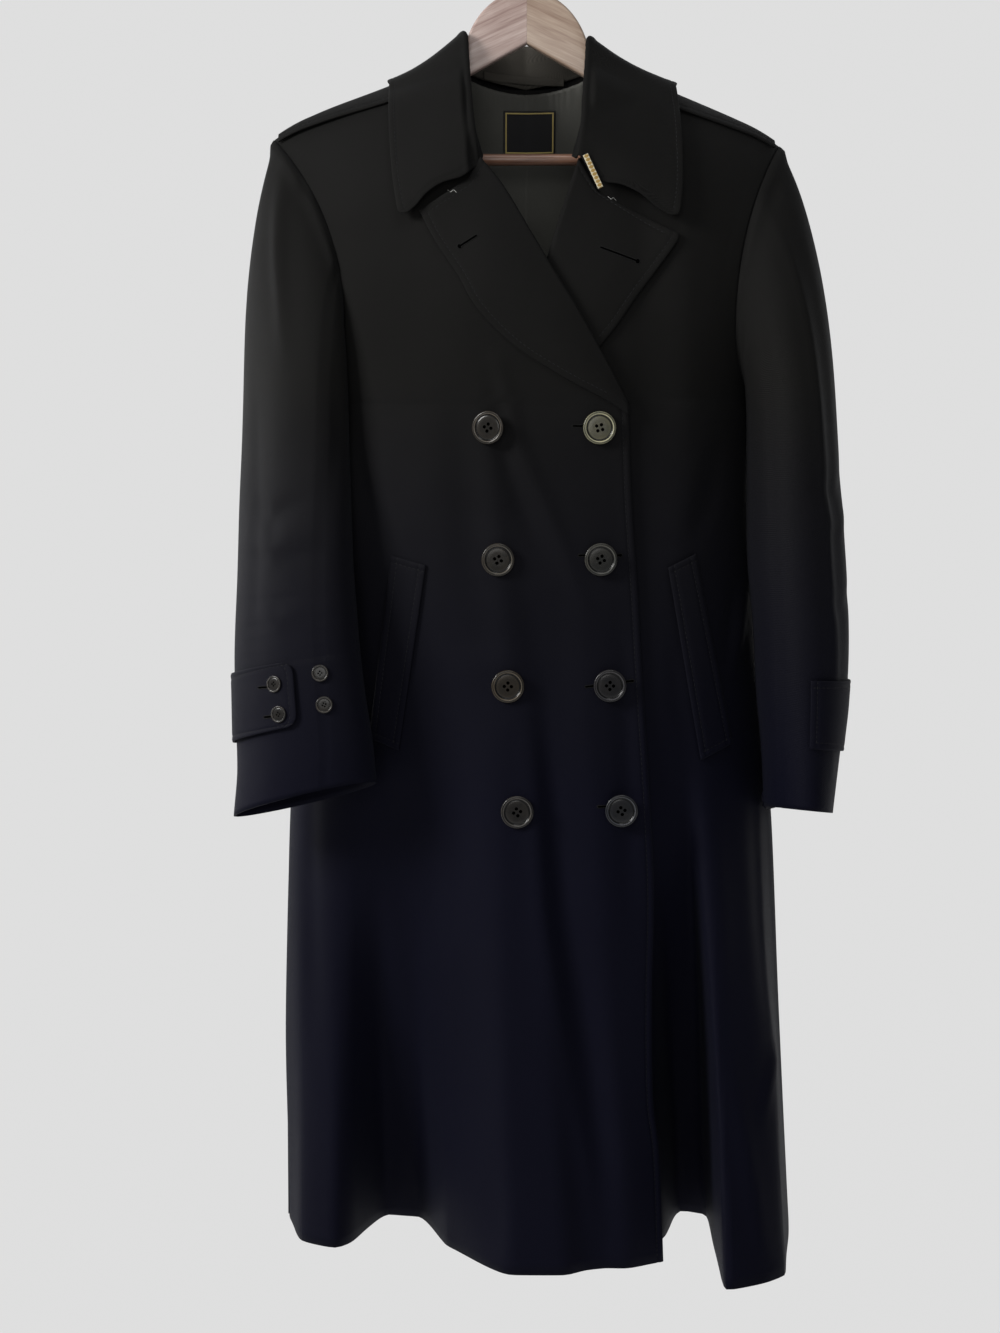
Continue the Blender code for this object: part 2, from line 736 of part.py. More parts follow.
def sleeve_normal(side, z, angle):
    step = 0.03
    around = ring_at(side, z, angle + step) - ring_at(side, z, angle - step)
    down = ring_at(side, z - 2.0, angle) - ring_at(side, z + 2.0, angle)
    normal = np.cross(around, down)
    normal /= np.linalg.norm(normal)
    outward = np.array([side * math.cos(angle), -math.sin(angle), 0.0])
    return normal if normal @ outward > 0 else -normal


def make_tabs():
    for side, word in ((-1, "right"), (1, "left")):
        tab = TABS[side]
        net = []
        for j in range(6):
            v = j / 5
            point_in = 3.0 * (2 * v - 1.0) ** 2
            line = []
            for k in range(19):
                last = tab["last"] - (point_in if side < 0 else 0.0)
                first = tab["first"] + (point_in if side > 0 else 0.0)
                angle = math.radians(mix(first, last, k / 18))
                z = mix(tab["top"], tab["low"], v)
                at = ring_at(side, z, angle)
                line.append(at + sleeve_normal(side, z, angle) * 3.0)
            net.append(line)
        out = facing(side * 255, -80, -700, side, 0, 0)
        cloth_piece(f"{word}_cuff_tab", np.array(net), out, gabardine(), 1.8)


# Buttons, turned from a profile: radius and height pairs as shares of the button's radius.
BUTTON_PROFILE = (
    (0.0, 0.0), (0.8, 0.0), (1.0, 0.14), (0.93, 0.25), (0.8, 0.24), (0.66, 0.15), (0.0, 0.14),
)
BIG_RADIUS = 14.2
SMALL_RADIUS = 7.2
SEAT_GAP = 0.3


def make_button(name, centre, normal, radius, sides):
    bm = bmesh.new()
    points = [bm.verts.new((r * radius, 0.0, h * radius)) for r, h in BUTTON_PROFILE]
    edges = [bm.edges.new(pair) for pair in zip(points, points[1:])]
    bmesh.ops.spin(
        bm,
        geom=points + edges,
        axis=(0, 0, 1),
        cent=(0, 0, 0),
        angle=math.tau,
        steps=sides,
        use_merge=True,
    )
    bmesh.ops.remove_doubles(bm, verts=bm.verts, dist=0.001)
    bmesh.ops.recalc_face_normals(bm, faces=bm.faces)
    turn = Vector((0, 0, 1)).rotation_difference(Vector(normal)).to_matrix().to_4x4()
    place = Matrix.Translation(Vector(centre) * MM) @ turn @ Matrix.Scale(MM, 4)
    bmesh.ops.transform(bm, matrix=place, verts=bm.verts)
    made = object_from(name, bm, button_horn())
    made.data.shade_smooth()
    return made


def seated(centre, normal, radius, carriers):
    """The centre moved along its normal until the button's underside just clears the cloth."""
    graph = bpy.context.evaluated_depsgraph_get()
    trees = [BVHTree.FromObject(bpy.data.objects[name], graph) for name in carriers]
    way = Vector(normal).normalized()
    start = (Vector(centre) + way * 30.0) * MM
    across = way.orthogonal().normalized()
    rims = [(0.0, 0.0)] + [BUTTON_PROFILE[1]] * 16 + [BUTTON_PROFILE[2]] * 16
    least = 1.0
    for k, (reach, height) in enumerate(rims):
        spoke = Matrix.Rotation(math.tau * k / 16, 3, way) @ across
        origin = start + spoke * reach * radius * MM
        for tree in trees:
            distance = tree.ray_cast(origin, -way, 0.08)[3]
            if distance is not None:
                least = min(least, distance + height * radius * MM)
    return Vector(centre) + way * (30.0 - least / MM + SEAT_GAP)


FRONT_BUTTON_COLUMNS = ("z", "right_x", "left_x", "tip")
FRONT_BUTTONS = (
    (-462.0, -32.0, 61.5, 0.35),
    (-574.5, -25.5, 63.0, 0.0),
    (-683.0, -17.0, 71.0, 0.0),
    (-790.5, -9.0, 81.0, 0.0),
)


def make_front_buttons():
    for count, row in enumerate(rows_of(FRONT_BUTTON_COLUMNS, FRONT_BUTTONS), 1):
        for word, x in (("right", row["right_x"]), ("left", row["left_x"])):
            tip = row["tip"] if word == "right" else 0.0
            normal = np.array([-tip, -1.0, 0.0])
            normal /= np.linalg.norm(normal)
            centre = seated(right_front_at(x, row["z"]), normal, BIG_RADIUS, ["right_front"])
            make_button(f"front_button_{word}_{count}", centre, normal, BIG_RADIUS, 16)


# Cuff buttons: degrees round the sleeve and height
CUFF_BUTTONS = {
    -1: ((67.0, -682.0), (70.0, -708.0), (117.0, -679.0), (119.0, -707.0)),
    1: ((-78.0, -697.0), (-78.0, -724.0), (-110.0, -697.0), (-110.0, -724.0)),
}


def make_cuff_buttons():
    for side, word in ((-1, "right"), (1, "left")):
        carriers = [f"{word}_cuff_tab", f"{word}_top_sleeve", f"{word}_under_sleeve"]
        for count, (turn, z) in enumerate(CUFF_BUTTONS[side], 1):
            angle = math.radians(turn)
            normal = sleeve_normal(side, z, angle)
            centre = seated(ring_at(side, z, angle), normal, SMALL_RADIUS, carriers)
            make_button(f"cuff_button_{word}_{count}", centre, normal, SMALL_RADIUS, 10)


# Inside the neck
def inside_back_at(x, z, inset):
    return back_at(x, z) - np.array([0.0, CLOTH + inset, 0.0])


def make_neck_lining():
    net = []
    for j in range(11):
        v = j / 10
        line = []
        for k in range(13):
            x = mix(-1.0, 1.0, k / 12) * mix(56.0, 66.0, v)
            z = mix(back_neck_z(x) - 7.0, -352.0, v)
            corner = 2.8 * abs(x / NECK_POINT_X) ** 3 * (1.0 - v)
            line.append(inside_back_at(x, z, 1.9 + corner))
        net.append(line)
    cloth_piece("neck_lining", np.array(net), facing(0, 40, -260, 0, -1, 0), lining_satin(), 1.2)


def make_inner_strips():
    """The hanging loop, the blank label and the strip of tape on the left roll edge."""
    net = []
    for j in range(3):
        line = []
        for k in range(9):
            x = mix(-38.0, 34.0, k / 8)
            z = mix(-138.0, -145.0, j / 2) - 0.08 * (x + 38.0)
            depth = 46.0 * math.sqrt(1.0 - (x / NECK_POINT_X) ** 2) - 7.6
            line.append(np.array([x, depth, z]))
        net.append(line)
    cloth_piece("hanging_loop", np.array(net), facing(0, 40, -152, 0, -1, 0), gabardine(), 1.4)
    net = []
    for j in range(5):
        line = []
        for k in range(6):
            x = mix(-20.5, 26.5, k / 5)
            z = mix(-173.0, -211.5, j / 4)
            line.append(inside_back_at(x, z, 3.5))
        net.append(line)
    cloth_piece("blank_label", np.array(net), facing(0, 40, -210, 0, -1, 0), lining_satin(), 1.0)
    net = []
    for j in range(6):
        line = []
        for k in range(3):
            x = mix(47.5, 60.5, j / 5) + mix(0.0, 4.2, k / 2)
            z = mix(-229.0, -258.0, j / 5) + mix(0.0, 2.0, k / 2)
            line.append(left_front_at(x, z) - np.array([0.0, 13.7, 0.0]))
        net.append(line)
    cloth_piece("neck_tape", np.array(net), facing(55, -80, -240, 0, -1, 0), gold_tape(), 0.8)


# Hanger
WOOD_HALF = 5.5
WOOD_Y = -1.5
ARM_DROP = 7.5
NECK_DROP = 10.5
ARCH_CENTRE_Z = -143.0
ARCH_HALF_WIDTH = 57.0
ARCH_RISE = 68.0
ARM_END_X = 200.0
BAR_RADIUS = 5.1
BAR_Z = -221.5
BAR_HALF_LENGTH = 184.0


def arm_outline():
    """The wearer's left arm from the mitre round: arch and arm above, V and end block below."""
    top = []
    for k in range(9):
        x = ARCH_HALF_WIDTH * math.sin(math.radians(84.0) * k / 8)
        rise = math.sqrt(1.0 - (x / ARCH_HALF_WIDTH) ** 2)
        top.append((x + 0.15, ARCH_CENTRE_Z + ARCH_RISE * rise))
    top.append((67.0, ridge_z(67.0) - NECK_DROP))
    for x in (90.0, 120.0, 150.0, 180.0, 194.0):
        top.append((x, ridge_z(x) - ARM_DROP))
    top.append((ARM_END_X, ridge_z(ARM_END_X) - ARM_DROP - 6.0))
    low = [(ARM_END_X, -232.0), (ARM_END_X - 4.0, -236.0), (BAR_HALF_LENGTH + SEAM_GAP, -236.0)]
    low += [(BAR_HALF_LENGTH + SEAM_GAP, -215.0), (150.0, -201.0), (100.0, -179.0), (72.0, -166.0)]
    low += [(54.0, -151.0), (0.15, -121.0)]
    return top + low


def make_arm(side, word):
    bm = bmesh.new()
    verts = []
    for x, z in arm_outline():
        place = Vector((side * x, WOOD_Y - WOOD_HALF, z + LEAN * x * (1 - side)))
        verts.append(bm.verts.new(place * MM))
    face = bm.faces.new(verts)
    grown = bmesh.ops.extrude_face_region(bm, geom=[face])
    moved = [item for item in grown["geom"] if isinstance(item, bmesh.types.BMVert)]
    bmesh.ops.translate(bm, vec=(0.0, 2 * WOOD_HALF * MM, 0.0), verts=moved)
    bmesh.ops.recalc_face_normals(bm, faces=bm.faces)
    rims = []
    for edge in bm.edges:
        a, b = edge.verts
        along_face = abs(a.co.y - b.co.y) < 1e-6
        at_mitre = abs(a.co.x) < 0.3 * MM and abs(b.co.x) < 0.3 * MM
        if along_face and not at_mitre:
            rims.append(edge)
    bmesh.ops.bevel(
        bm,
        geom=rims,
        offset=2.6 * MM,
        segments=2,
        profile=0.5,
        affect="EDGES",
        clamp_overlap=True,
        material=-1,
    )
    made = object_from(f"hanger_arm_{word}", bm, hanger_wood())
    made.data.shade_smooth()
    made.data.set_sharp_from_angle(angle=math.radians(40))


def make_bar():
    bm = bmesh.new()
    bmesh.ops.create_cone(
        bm,
        cap_ends=True,
        segments=14,
        radius1=BAR_RADIUS * MM,
        radius2=BAR_RADIUS * MM,
        depth=2 * BAR_HALF_LENGTH * MM,
    )
    place = Matrix.Translation((0.0, WOOD_Y * MM, BAR_Z * MM)) @ Matrix.Rotation(math.pi / 2, 4, "Y")
    bmesh.ops.transform(bm, matrix=place, verts=bm.verts)
    made = object_from("trouser_bar", bm, hanger_wood())
    made.data.shade_smooth()
    made.data.set_sharp_from_angle(angle=math.radians(40))


HOOK_INNER_RADIUS = 20.0
HOOK_WIRE = 2.0


def make_hook():
    """The wire: a straight stem from the wood, then the bow round the rod."""
    radius = HOOK_INNER_RADIUS + HOOK_WIRE
    points = [(0.0, -74.4), (0.0, -66.0), (1.0, -58.0), (6.0, -49.0)]
    for turn in range(-38, 201, 17):
        angle = math.radians(turn)
        points.append((radius * math.cos(angle), -HOOK_INNER_RADIUS + radius * math.sin(angle)))
    curve = bpy.data.curves.new("hanger_hook", "CURVE")
    curve.dimensions = "3D"
    curve.bevel_depth = HOOK_WIRE * MM
    curve.bevel_resolution = 2
    curve.use_fill_caps = True
    spline = curve.splines.new("POLY")
    spline.points.add(len(points) - 1)
    for point, (x, z) in zip(spline.points, points):
        point.co = (x * MM, 0.0, z * MM, 1.0)
    curve.materials.append(hook_steel())
    made = bpy.data.objects.new("hanger_hook", curve)
    bpy.context.scene.collection.objects.link(made)


def main():
    for old in list(bpy.data.objects):
        bpy.data.objects.remove(old, do_unlink=True)
    make_fronts()
    make_back()
    make_sleeves()
    make_collar()
    make_lapels()
    make_epaulettes()
    make_welts()
    make_tabs()
    make_front_buttons()
    make_cuff_buttons()
    make_neck_lining()
    make_inner_strips()
    make_arm(-1, "right")
    make_arm(1, "left")
    make_bar()
    make_hook()


main()
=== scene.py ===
"""The looks of a double-breasted military greatcoat on its wooden hanger.

The design's numbers are millimetres and meshes are metres, +Z up, front at -Y, with the
origin at the inner top of the hook. Each cloth piece is a net of points laid on the same
form as its solid, finer, with creases, rolled edges and stitching worked into it.
"""

import math
from functools import cache

import bmesh
import bpy
import numpy as np
from mathutils import Matrix, Vector, noise
from mathutils.bvhtree import BVHTree


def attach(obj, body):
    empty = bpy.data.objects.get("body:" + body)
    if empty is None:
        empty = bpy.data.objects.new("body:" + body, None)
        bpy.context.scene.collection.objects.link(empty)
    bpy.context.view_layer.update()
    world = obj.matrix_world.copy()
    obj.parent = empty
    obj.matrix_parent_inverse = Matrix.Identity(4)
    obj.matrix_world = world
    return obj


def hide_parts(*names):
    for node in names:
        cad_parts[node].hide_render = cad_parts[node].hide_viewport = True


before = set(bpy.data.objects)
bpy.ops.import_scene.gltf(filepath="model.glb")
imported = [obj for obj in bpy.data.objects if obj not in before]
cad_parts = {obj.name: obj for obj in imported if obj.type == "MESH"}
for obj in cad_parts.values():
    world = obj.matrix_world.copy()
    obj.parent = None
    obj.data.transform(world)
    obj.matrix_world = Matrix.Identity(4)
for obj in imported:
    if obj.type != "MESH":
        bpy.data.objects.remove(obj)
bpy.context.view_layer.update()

MM = 0.001

# The coat's design, as in the part's source

# Driving sizes
HEM_Z = -1190.0
UNDERARM_Z = -440.0
SHOULDER_TIP_X = 225.0
NECK_POINT_X = 66.0
NECK_POINT_Z = -136.0
SHOULDER_SLOPE = 0.43
LEAN = 0.008
PADDING = {-1: 3.0, 1: 1.2}
CLOTH = 2.0
ROUNDNESS = 2.2
SHOULDER_SOFTNESS = 50.0
SHOULDER_POWER = 0.75
# The body's girth by height, with half widths to each side and depths to front and back.
SECTION_COLUMNS = ("z", "right", "left", "front", "back")
SECTIONS = (
    (-140.0, 240.0, 244.0, 62.0, 46.0),
    (-240.0, 240.0, 244.0, 74.0, 50.0),
    (-340.0, 226.0, 230.0, 90.0, 55.0),
    (-440.0, 198.0, 203.0, 97.0, 57.0),
    (-600.0, 200.0, 206.0, 101.0, 59.0),
    (-800.0, 216.0, 224.0, 100.0, 63.0),
    (-1000.0, 221.0, 235.0, 90.0, 68.0),
    (-1195.0, 222.0, 246.0, 80.0, 74.0),
)
# Skirt folds. The four places across are those at the hem, where a fold starts, peaks and
# ends. drift moves them at the height where the fold begins, and lean tips the fold over.
FOLD_COLUMNS = (
    "name", "foot_a", "crest_a", "crest_b", "foot_b", "drift", "start_z", "depth", "power", "lean",
)
RIGHT_FRONT_FOLDS = (
    ("side ridge", -222.0, -200.0, -174.0, -146.0, 0.0, -780.0, 29.0, 1.2, 0.0),
    ("side trough", -160.0, -126.0, -101.0, -68.0, 0.0, -760.0, -66.0, 1.4, 0.0),
    ("centre ridge", -80.0, -12.0, 30.0, 260.0, -10.0, -640.0, 66.0, 1.1, 0.0),
    ("slanting trough", 30.0, 54.0, 64.0, 92.0, -45.0, -600.0, -9.0, 0.6, 0.0),
)
LEFT_FRONT_FOLDS = (
    ("deep trough", 122.0, 148.0, 170.0, 184.0, -34.0, -740.0, -56.0, 1.6, 0.0),
    ("forward crest", 167.0, 185.0, 238.0, 246.0, -32.0, -740.0, 122.0, 1.4, -16.0),
)
BACK_FOLDS = (
    ("right ridge", -165.0, -128.0, -110.0, -70.0, 10.0, -650.0, 16.0, 1.2, 0.0),
    ("centre trough", -52.0, -12.0, 12.0, 52.0, 0.0, -600.0, -14.0, 1.1, 0.0),
    ("left ridge", 72.0, 108.0, 130.0, 176.0, -12.0, -690.0, 18.0, 1.3, 0.0),
)


def rows_of(columns, rows):
    return [dict(zip(columns, row)) for row in rows]


SECTION_ROWS = rows_of(SECTION_COLUMNS, SECTIONS)
SIDES = ((-1, "right"), (1, "left"))


def clamp(value, low=0.0, high=1.0):
    return max(low, min(high, value))


def ease(value):
    value = clamp(value)
    return value * value * (3.0 - 2.0 * value)


def mix(a, b, share):
    return a + (b - a) * share


def through(places, values, at):
    """A smooth curve through values at rising places, read at one place."""
    if at <= places[0]:
        return values[0]
    if at >= places[-1]:
        return values[-1]
    k = int(np.searchsorted(places, at)) - 1
    k = max(0, min(len(places) - 2, k))
    step = places[k + 1] - places[k]
    share = (at - places[k]) / step
    before = max(k - 1, 0)
    after = min(k + 2, len(places) - 1)
    start = (values[k + 1] - values[before]) / (places[k + 1] - places[before]) * step
    end = (values[after] - values[k]) / (places[after] - places[k]) * step
    s2 = share * share
    s3 = s2 * share
    return (
        (2 * s3 - 3 * s2 + 1) * values[k]
        + (s3 - 2 * s2 + share) * start
        + (3 * s2 - 2 * s3) * values[k + 1]
        + (s3 - s2) * end
    )


def column_at(rows, name, z):
    """A column of a table whose rows go down in z, read smoothly at one height."""
    places = [-row["z"] for row in rows]
    values = [row[name] for row in rows]
    return through(places, values, -z)


# The body's surface
def half_width(x, z):
    """The body's half width at a height, to the side that x lies on."""
    return column_at(SECTION_ROWS, "right" if x < 0 else "left", z)


def ridge_z(x):
    """The height of the shoulder line, from the neck point out to the tip."""
    out = abs(x)
    rounding = 0.005 * max(0.0, out - 195.0) ** 2
    padding = PADDING[-1 if x < 0 else 1] * ease((out - 115.0) / 70.0)
    return NECK_POINT_Z - SHOULDER_SLOPE * (out - NECK_POINT_X) - rounding + padding - LEAN * x


def girth_share(x, z):
    """How much of its full depth the body has at x: 1 at the middle, 0 at the side seam."""
    reach = clamp(abs(x) / half_width(x, z))
    return (1.0 - reach**ROUNDNESS) ** (1.0 / ROUNDNESS)


def shoulder_share(x, z):
    """How much of its full depth the body has below the shoulder line."""
    drop = max(0.0, ridge_z(x) - z)
    return (1.0 - math.exp(-drop / SHOULDER_SOFTNESS)) ** SHOULDER_POWER


def fold_push(folds, x, z):
    """How far folds push the cloth sideways and outwards at one place."""
    across = 0.0
    out = 0.0
    for row in folds:
        fold = dict(zip(FOLD_COLUMNS, row))
        grown = clamp((fold["start_z"] - z) / (fold["start_z"] - HEM_Z))
        if grown <= 0.0:
            continue
        here = x - fold["drift"] * (1.0 - grown)
        rise = ease((here - fold["foot_a"]) / (fold["crest_a"] - fold["foot_a"]))
        fall = ease((fold["foot_b"] - here) / (fold["foot_b"] - fold["crest_b"]))
        strength = min(rise, fall) * grown ** fold["power"]
        out += strength * fold["depth"]
        across += strength * fold["lean"]
    return across, out


def body_depth(x, z, side):
    return column_at(SECTION_ROWS, side, z) * girth_share(x, z) * shoulder_share(x, z)


def right_front_at(x, z):
    across, out = fold_push(RIGHT_FRONT_FOLDS, x, z)
    return np.array([x + across, -body_depth(x, z, "front") - out, z])


def front_edge_x(z):
    """The right front's closing edge, from the top button down to the hem."""
    heights = (444.0, 523.0, 609.0, 695.0, 790.0, 869.0, 957.0, 1047.0, 1091.0, 1190.0)
    places = (87.0, 90.0, 96.0, 101.0, 107.0, 110.5, 109.0, 110.5, 116.0, 120.0)
    return through(heights, places, -z)


def under_gap(x, z):
    """How far the left front lies behind the right one, fading out past the closing edge."""
    layered = mix(7.5, 5.0, ease((-z - 430.0) / 60.0))
    skirt = 40.0 * ease((-z - 800.0) / 390.0)
    past = ease((x - front_edge_x(z) - 6.0) / 50.0)
    return (layered + skirt) * (1.0 - past)


def left_front_at(x, z):
    across, out = fold_push(LEFT_FRONT_FOLDS, x, z)
    behind = under_gap(x, z) if z < -200.0 else under_gap(x, z) * ease((-z - 150.0) / 60.0)
    centre = fold_push(RIGHT_FRONT_FOLDS[2:], x, z)[1]
    centre *= 1.0 - ease((x - front_edge_x(z) + 10.0) / 60.0)
    depth = body_depth(x, z, "front") + out + centre
    return np.array([x + across, behind - depth, z])


def front_at(x, z, side):
    return right_front_at(x, z) if side < 0 else left_front_at(x, z)


def back_at(x, z):
    across, out = fold_push(BACK_FOLDS, x, z)
    return np.array([x + across, body_depth(x, z, "back") + out, z])


# Armholes
FRONT_ARMHOLE_X = {-1: 154.0, 1: 179.0}
BACK_ARMHOLE_X = {-1: 176.0, 1: 186.0}


def armhole_x(z, side, least):
    """The armhole's edge: in from the shoulder tip, down, and out to the underarm."""
    top = ridge_z(side * SHOULDER_TIP_X)
    share = clamp((top - z) / (top - UNDERARM_Z))
    under = half_width(side, UNDERARM_Z)
    inward = least + (SHOULDER_TIP_X - least) * (1.0 - share) ** 3
    return side * (inward + (under - least) * share**8)


def side_line(side, least):
    """A panel's outer edge: armhole above, side seam below."""

    def at(z):
        if z > UNDERARM_Z:
            return armhole_x(z, side, least)
        return side * half_width(side, z)

    return at


# Neckline, roll lines and closing edges
def right_inner_line(z):
    places = (140.0, 175.0, 229.0, 266.0, 328.0, 396.0, 444.0)
    values = (-66.0, -55.0, -42.0, -15.0, 22.0, 61.0, 87.0)
    if z < -444.0:
        return front_edge_x(z)
    return through(places, values, -z)


def left_inner_line(z):
    places = (140.0, 175.0, 227.0, 291.0, 340.0, 440.0, 500.0, 1190.0)
    values = (66.0, 56.0, 46.0, 27.5, 12.0, -16.0, -38.0, -46.0)
    return through(places, values, -z)


def back_neck_z(x):
    dip = 16.0 * (1.0 - (abs(x) / NECK_POINT_X) ** 2)
    return NECK_POINT_Z - LEAN * x - dip


# Sleeves. Rings by height: centre, half length and half thickness of the flattened tube,
# the turn of its long axis from +X, and the cuff's slope along X and Y.
RING_COLUMNS = ("z", "x", "y", "long", "short", "turn", "slope_x", "slope_y")
RIGHT_RINGS = (
    (-470.0, -204.0, -44.0, 66.0, 38.0, -50.0, 0.0, 0.0),
    (-575.0, -203.5, -72.0, 62.0, 38.0, -42.0, 0.04, -0.04),
    (-645.0, -200.5, -90.0, 62.0, 38.0, -34.0, 0.12, -0.12),
    (-700.0, -196.5, -100.0, 62.0, 38.0, -27.0, 0.17, -0.17),
    (-745.0, -192.5, -106.0, 62.5, 38.0, -20.0, 0.20, -0.21),
    (-781.0, -192.5, -110.0, 64.0, 38.0, -14.0, 0.22, -0.25),
)
LEFT_RINGS = (
    (-470.0, 234.0, -40.0, 60.0, 41.0, 84.0, 0.0, 0.0),
    (-575.0, 238.0, -50.0, 59.0, 43.0, 84.0, 0.0, 0.0),
    (-645.0, 242.0, -56.0, 59.0, 41.0, 86.0, -0.02, -0.02),
    (-700.0, 242.5, -58.0, 60.0, 38.5, 88.0, -0.05, -0.06),
    (-745.0, 242.0, -58.0, 61.0, 34.0, 90.0, -0.08, -0.10),
    (-798.0, 240.5, -58.0, 63.0, 30.0, 92.0, -0.10, -0.14),
)
RINGS = {
    -1: rows_of(RING_COLUMNS, RIGHT_RINGS),
    1: rows_of(RING_COLUMNS, LEFT_RINGS),
}
SLEEVE_TOP_RING = -470.0
BODY_REST_GAP = 7.5
CAP_SWELL = {-1: 3.0, 1: -6.0}
UNDERARM_TURN = 236.0
SLEEVE_SET = 0.6


def off_the_body(point, side, angle):
    """A sleeve point kept in front of the body, or beside it past the underarm's line."""
    x, y, z = point
    width = half_width(side, z)
    if abs(x) > width + BODY_REST_GAP:
        return point
    inner = side * min(abs(x), width - 0.5)
    limit = front_at(inner, z, side)[1] - BODY_REST_GAP
    if y <= limit:
        return point
    if math.degrees(angle) % 360.0 > UNDERARM_TURN:
        return np.array([side * (width + BODY_REST_GAP), y, z])
    return np.array([x, limit, z])


def ring_at(side, z, angle):
    """A point of the sleeve below the armhole. Angle 0 is outward, 90 forward, 180 inward."""
    rows = RINGS[side]
    ring = {name: column_at(rows, name, z) for name in RING_COLUMNS[1:]}
    turn = math.radians(ring["turn"])
    way = np.array([side * math.cos(angle), -math.sin(angle)])
    along = way @ np.array([math.cos(turn), math.sin(turn)])
    across = way @ np.array([-math.sin(turn), math.cos(turn)])
    reach = 1.0 / math.sqrt((along / ring["long"]) ** 2 + (across / ring["short"]) ** 2)
    x = ring["x"] + reach * way[0]
    y = ring["y"] + reach * way[1]
    slant = ring["slope_x"] * (x - ring["x"]) + ring["slope_y"] * (y - ring["y"])
    return off_the_body(np.array([x, y, z + slant]), side, angle)


def armhole_at(side, angle):
    """A point of the armhole's loop: top at angle 0, then the front, then the underarm."""
    turn = math.degrees(angle) % 360.0
    front = turn <= UNDERARM_TURN
    share = turn / UNDERARM_TURN if front else (360.0 - turn) / (360.0 - UNDERARM_TURN)
    drop = 0.5 - 0.5 * math.cos(math.pi * share)
    top = ridge_z(side * SHOULDER_TIP_X)
    z = mix(top, UNDERARM_Z, drop)
    least = FRONT_ARMHOLE_X[side] if front else BACK_ARMHOLE_X[side]
    x = armhole_x(z, side, least)
    point = front_at(x, z, side) if front else back_at(x, z)
    point[0] += side * SLEEVE_SET
    point[2] -= SLEEVE_SET * ease((drop - 0.8) / 0.2)
    return point


def sleeve_at(side, down, angle):
    """A point of the whole sleeve: down runs 0 to 1 through the cap, then 1 to 2 to the cuff."""
    if down >= 1.0:
        cuff = RINGS[side][-1]["z"]
        return ring_at(side, mix(SLEEVE_TOP_RING, cuff, down - 1.0), angle)
    start = armhole_at(side, angle)
    end = ring_at(side, SLEEVE_TOP_RING, angle)
    bend = np.array([mix(start[0], end[0], 0.9), mix(start[1], end[1], 0.75), 0.0])
    bend[2] = start[2] - 0.24 * (start[2] - end[2])
    bend[0] += side * CAP_SWELL[side] * max(0.0, math.cos(angle))
    rest = 1.0 - down
    point = rest * rest * start + 2 * rest * down * bend + down * down * end
    if down < 0.12 or point[2] > -300.0:
        return point
    return off_the_body(point, side, angle)


def neck_back_at(x, z):
    depth = 46.0 * math.sqrt(max(0.0, 1.0 - (x / NECK_POINT_X) ** 2)) + 1.0
    return np.array([x, depth, z])


# Collar. Stations from the gorge round to the centre back: the neck seam, the roll and the
# fall's edge. A front station takes its depth from the front under it.
STATION_COLUMNS = (
    "name", "base_x", "base_y", "base_z", "roll_x", "roll_y", "roll_z", "edge_x", "edge_y", "edge_z",
    "shift",
)
COLLAR_STATIONS = (
    ("gorge", 38.0, -61.0, -228.0, 44.0, -69.8, -226.0, 120.8, -75.0, -279.5, 10.0),
    ("front low", 45.0, -54.0, -203.0, 48.5, -62.0, -199.0, 125.0, -66.0, -250.0, 9.0),
    ("front middle", 51.5, -35.0, -174.0, 51.5, -42.0, -163.0, 127.0, -50.0, -212.0, 7.5),
    ("front high", 57.5, -18.0, -151.0, 53.5, -24.0, -133.0, 127.5, -28.0, -177.0, 6.0),
    ("peak", 61.5, -8.0, -138.0, 55.0, -13.0, -113.5, 127.0, -9.0, -155.0, 5.0),
    ("shoulder", 63.5, 3.0, -135.0, 61.0, 5.0, -114.5, 126.0, 9.0, -155.5, 5.0),
    ("back quarter", 46.0, 30.0, -143.0, 44.0, 34.0, -112.0, 86.0, 52.0, -170.0, 4.0),
    ("centre back", 0.0, 42.5, -152.0, 0.0, 45.0, -112.0, 0.0, 62.0, -181.0, 0.0),
)
ROLL_LEAN = 0.03
COLLAR_CLEARANCE = 9.5
FALL_SWELL = 2.5
FALL_SAG = 4.5
ROLL_THICKNESS = 3.2
FALL_STEPS = 24
GORGE_PLACES = (0.0, 0.13, 0.377, 0.584, 0.74, 0.9, 1.0)
GORGE_RISES = {
    -1: (0.0, -2.0, 2.0, 1.0, -4.0, -4.8, -3.0),
    1: (0.0, -11.0, -4.0, -2.5, -5.5, -4.5, -1.5),
}
GORGE_DROP = {-1: 13.0, 1: 0.0}
COLLAR_CORNER = 9.0
COLLAR_HALF_LENGTH = 250.0
COLLAR_ROWS = rows_of(STATION_COLUMNS, COLLAR_STATIONS)


def collar_station(share):
    """The three corners of the collar's section: share 0 at one gorge, 2 at the other."""
    rows = COLLAR_ROWS
    side = -1 if share < 1.0 else 1
    place = (share if share < 1.0 else 2.0 - share) * (len(rows) - 1)
    places = list(range(len(rows)))
    corners = []
    for corner in ("base", "roll", "edge"):
        xyz = [through(places, [row[f"{corner}_{axis}"] for row in rows], place) for axis in "xyz"]
        xyz[0] *= side
        xyz[2] -= LEAN * xyz[0]
        if corner == "edge":
            xyz[0] += through(places, [row["shift"] for row in rows], place)
        if corner == "roll":
            xyz[2] -= ROLL_LEAN * xyz[0]
        corners.append(np.array(xyz))
    return side, corners


def corner_cut(from_corner, radius):
    """How much shorter a row is where an edge's corner is rounded off."""
    if from_corner >= radius:
        return 0.0
    return radius - math.sqrt(radius * radius - (radius - from_corner) ** 2)


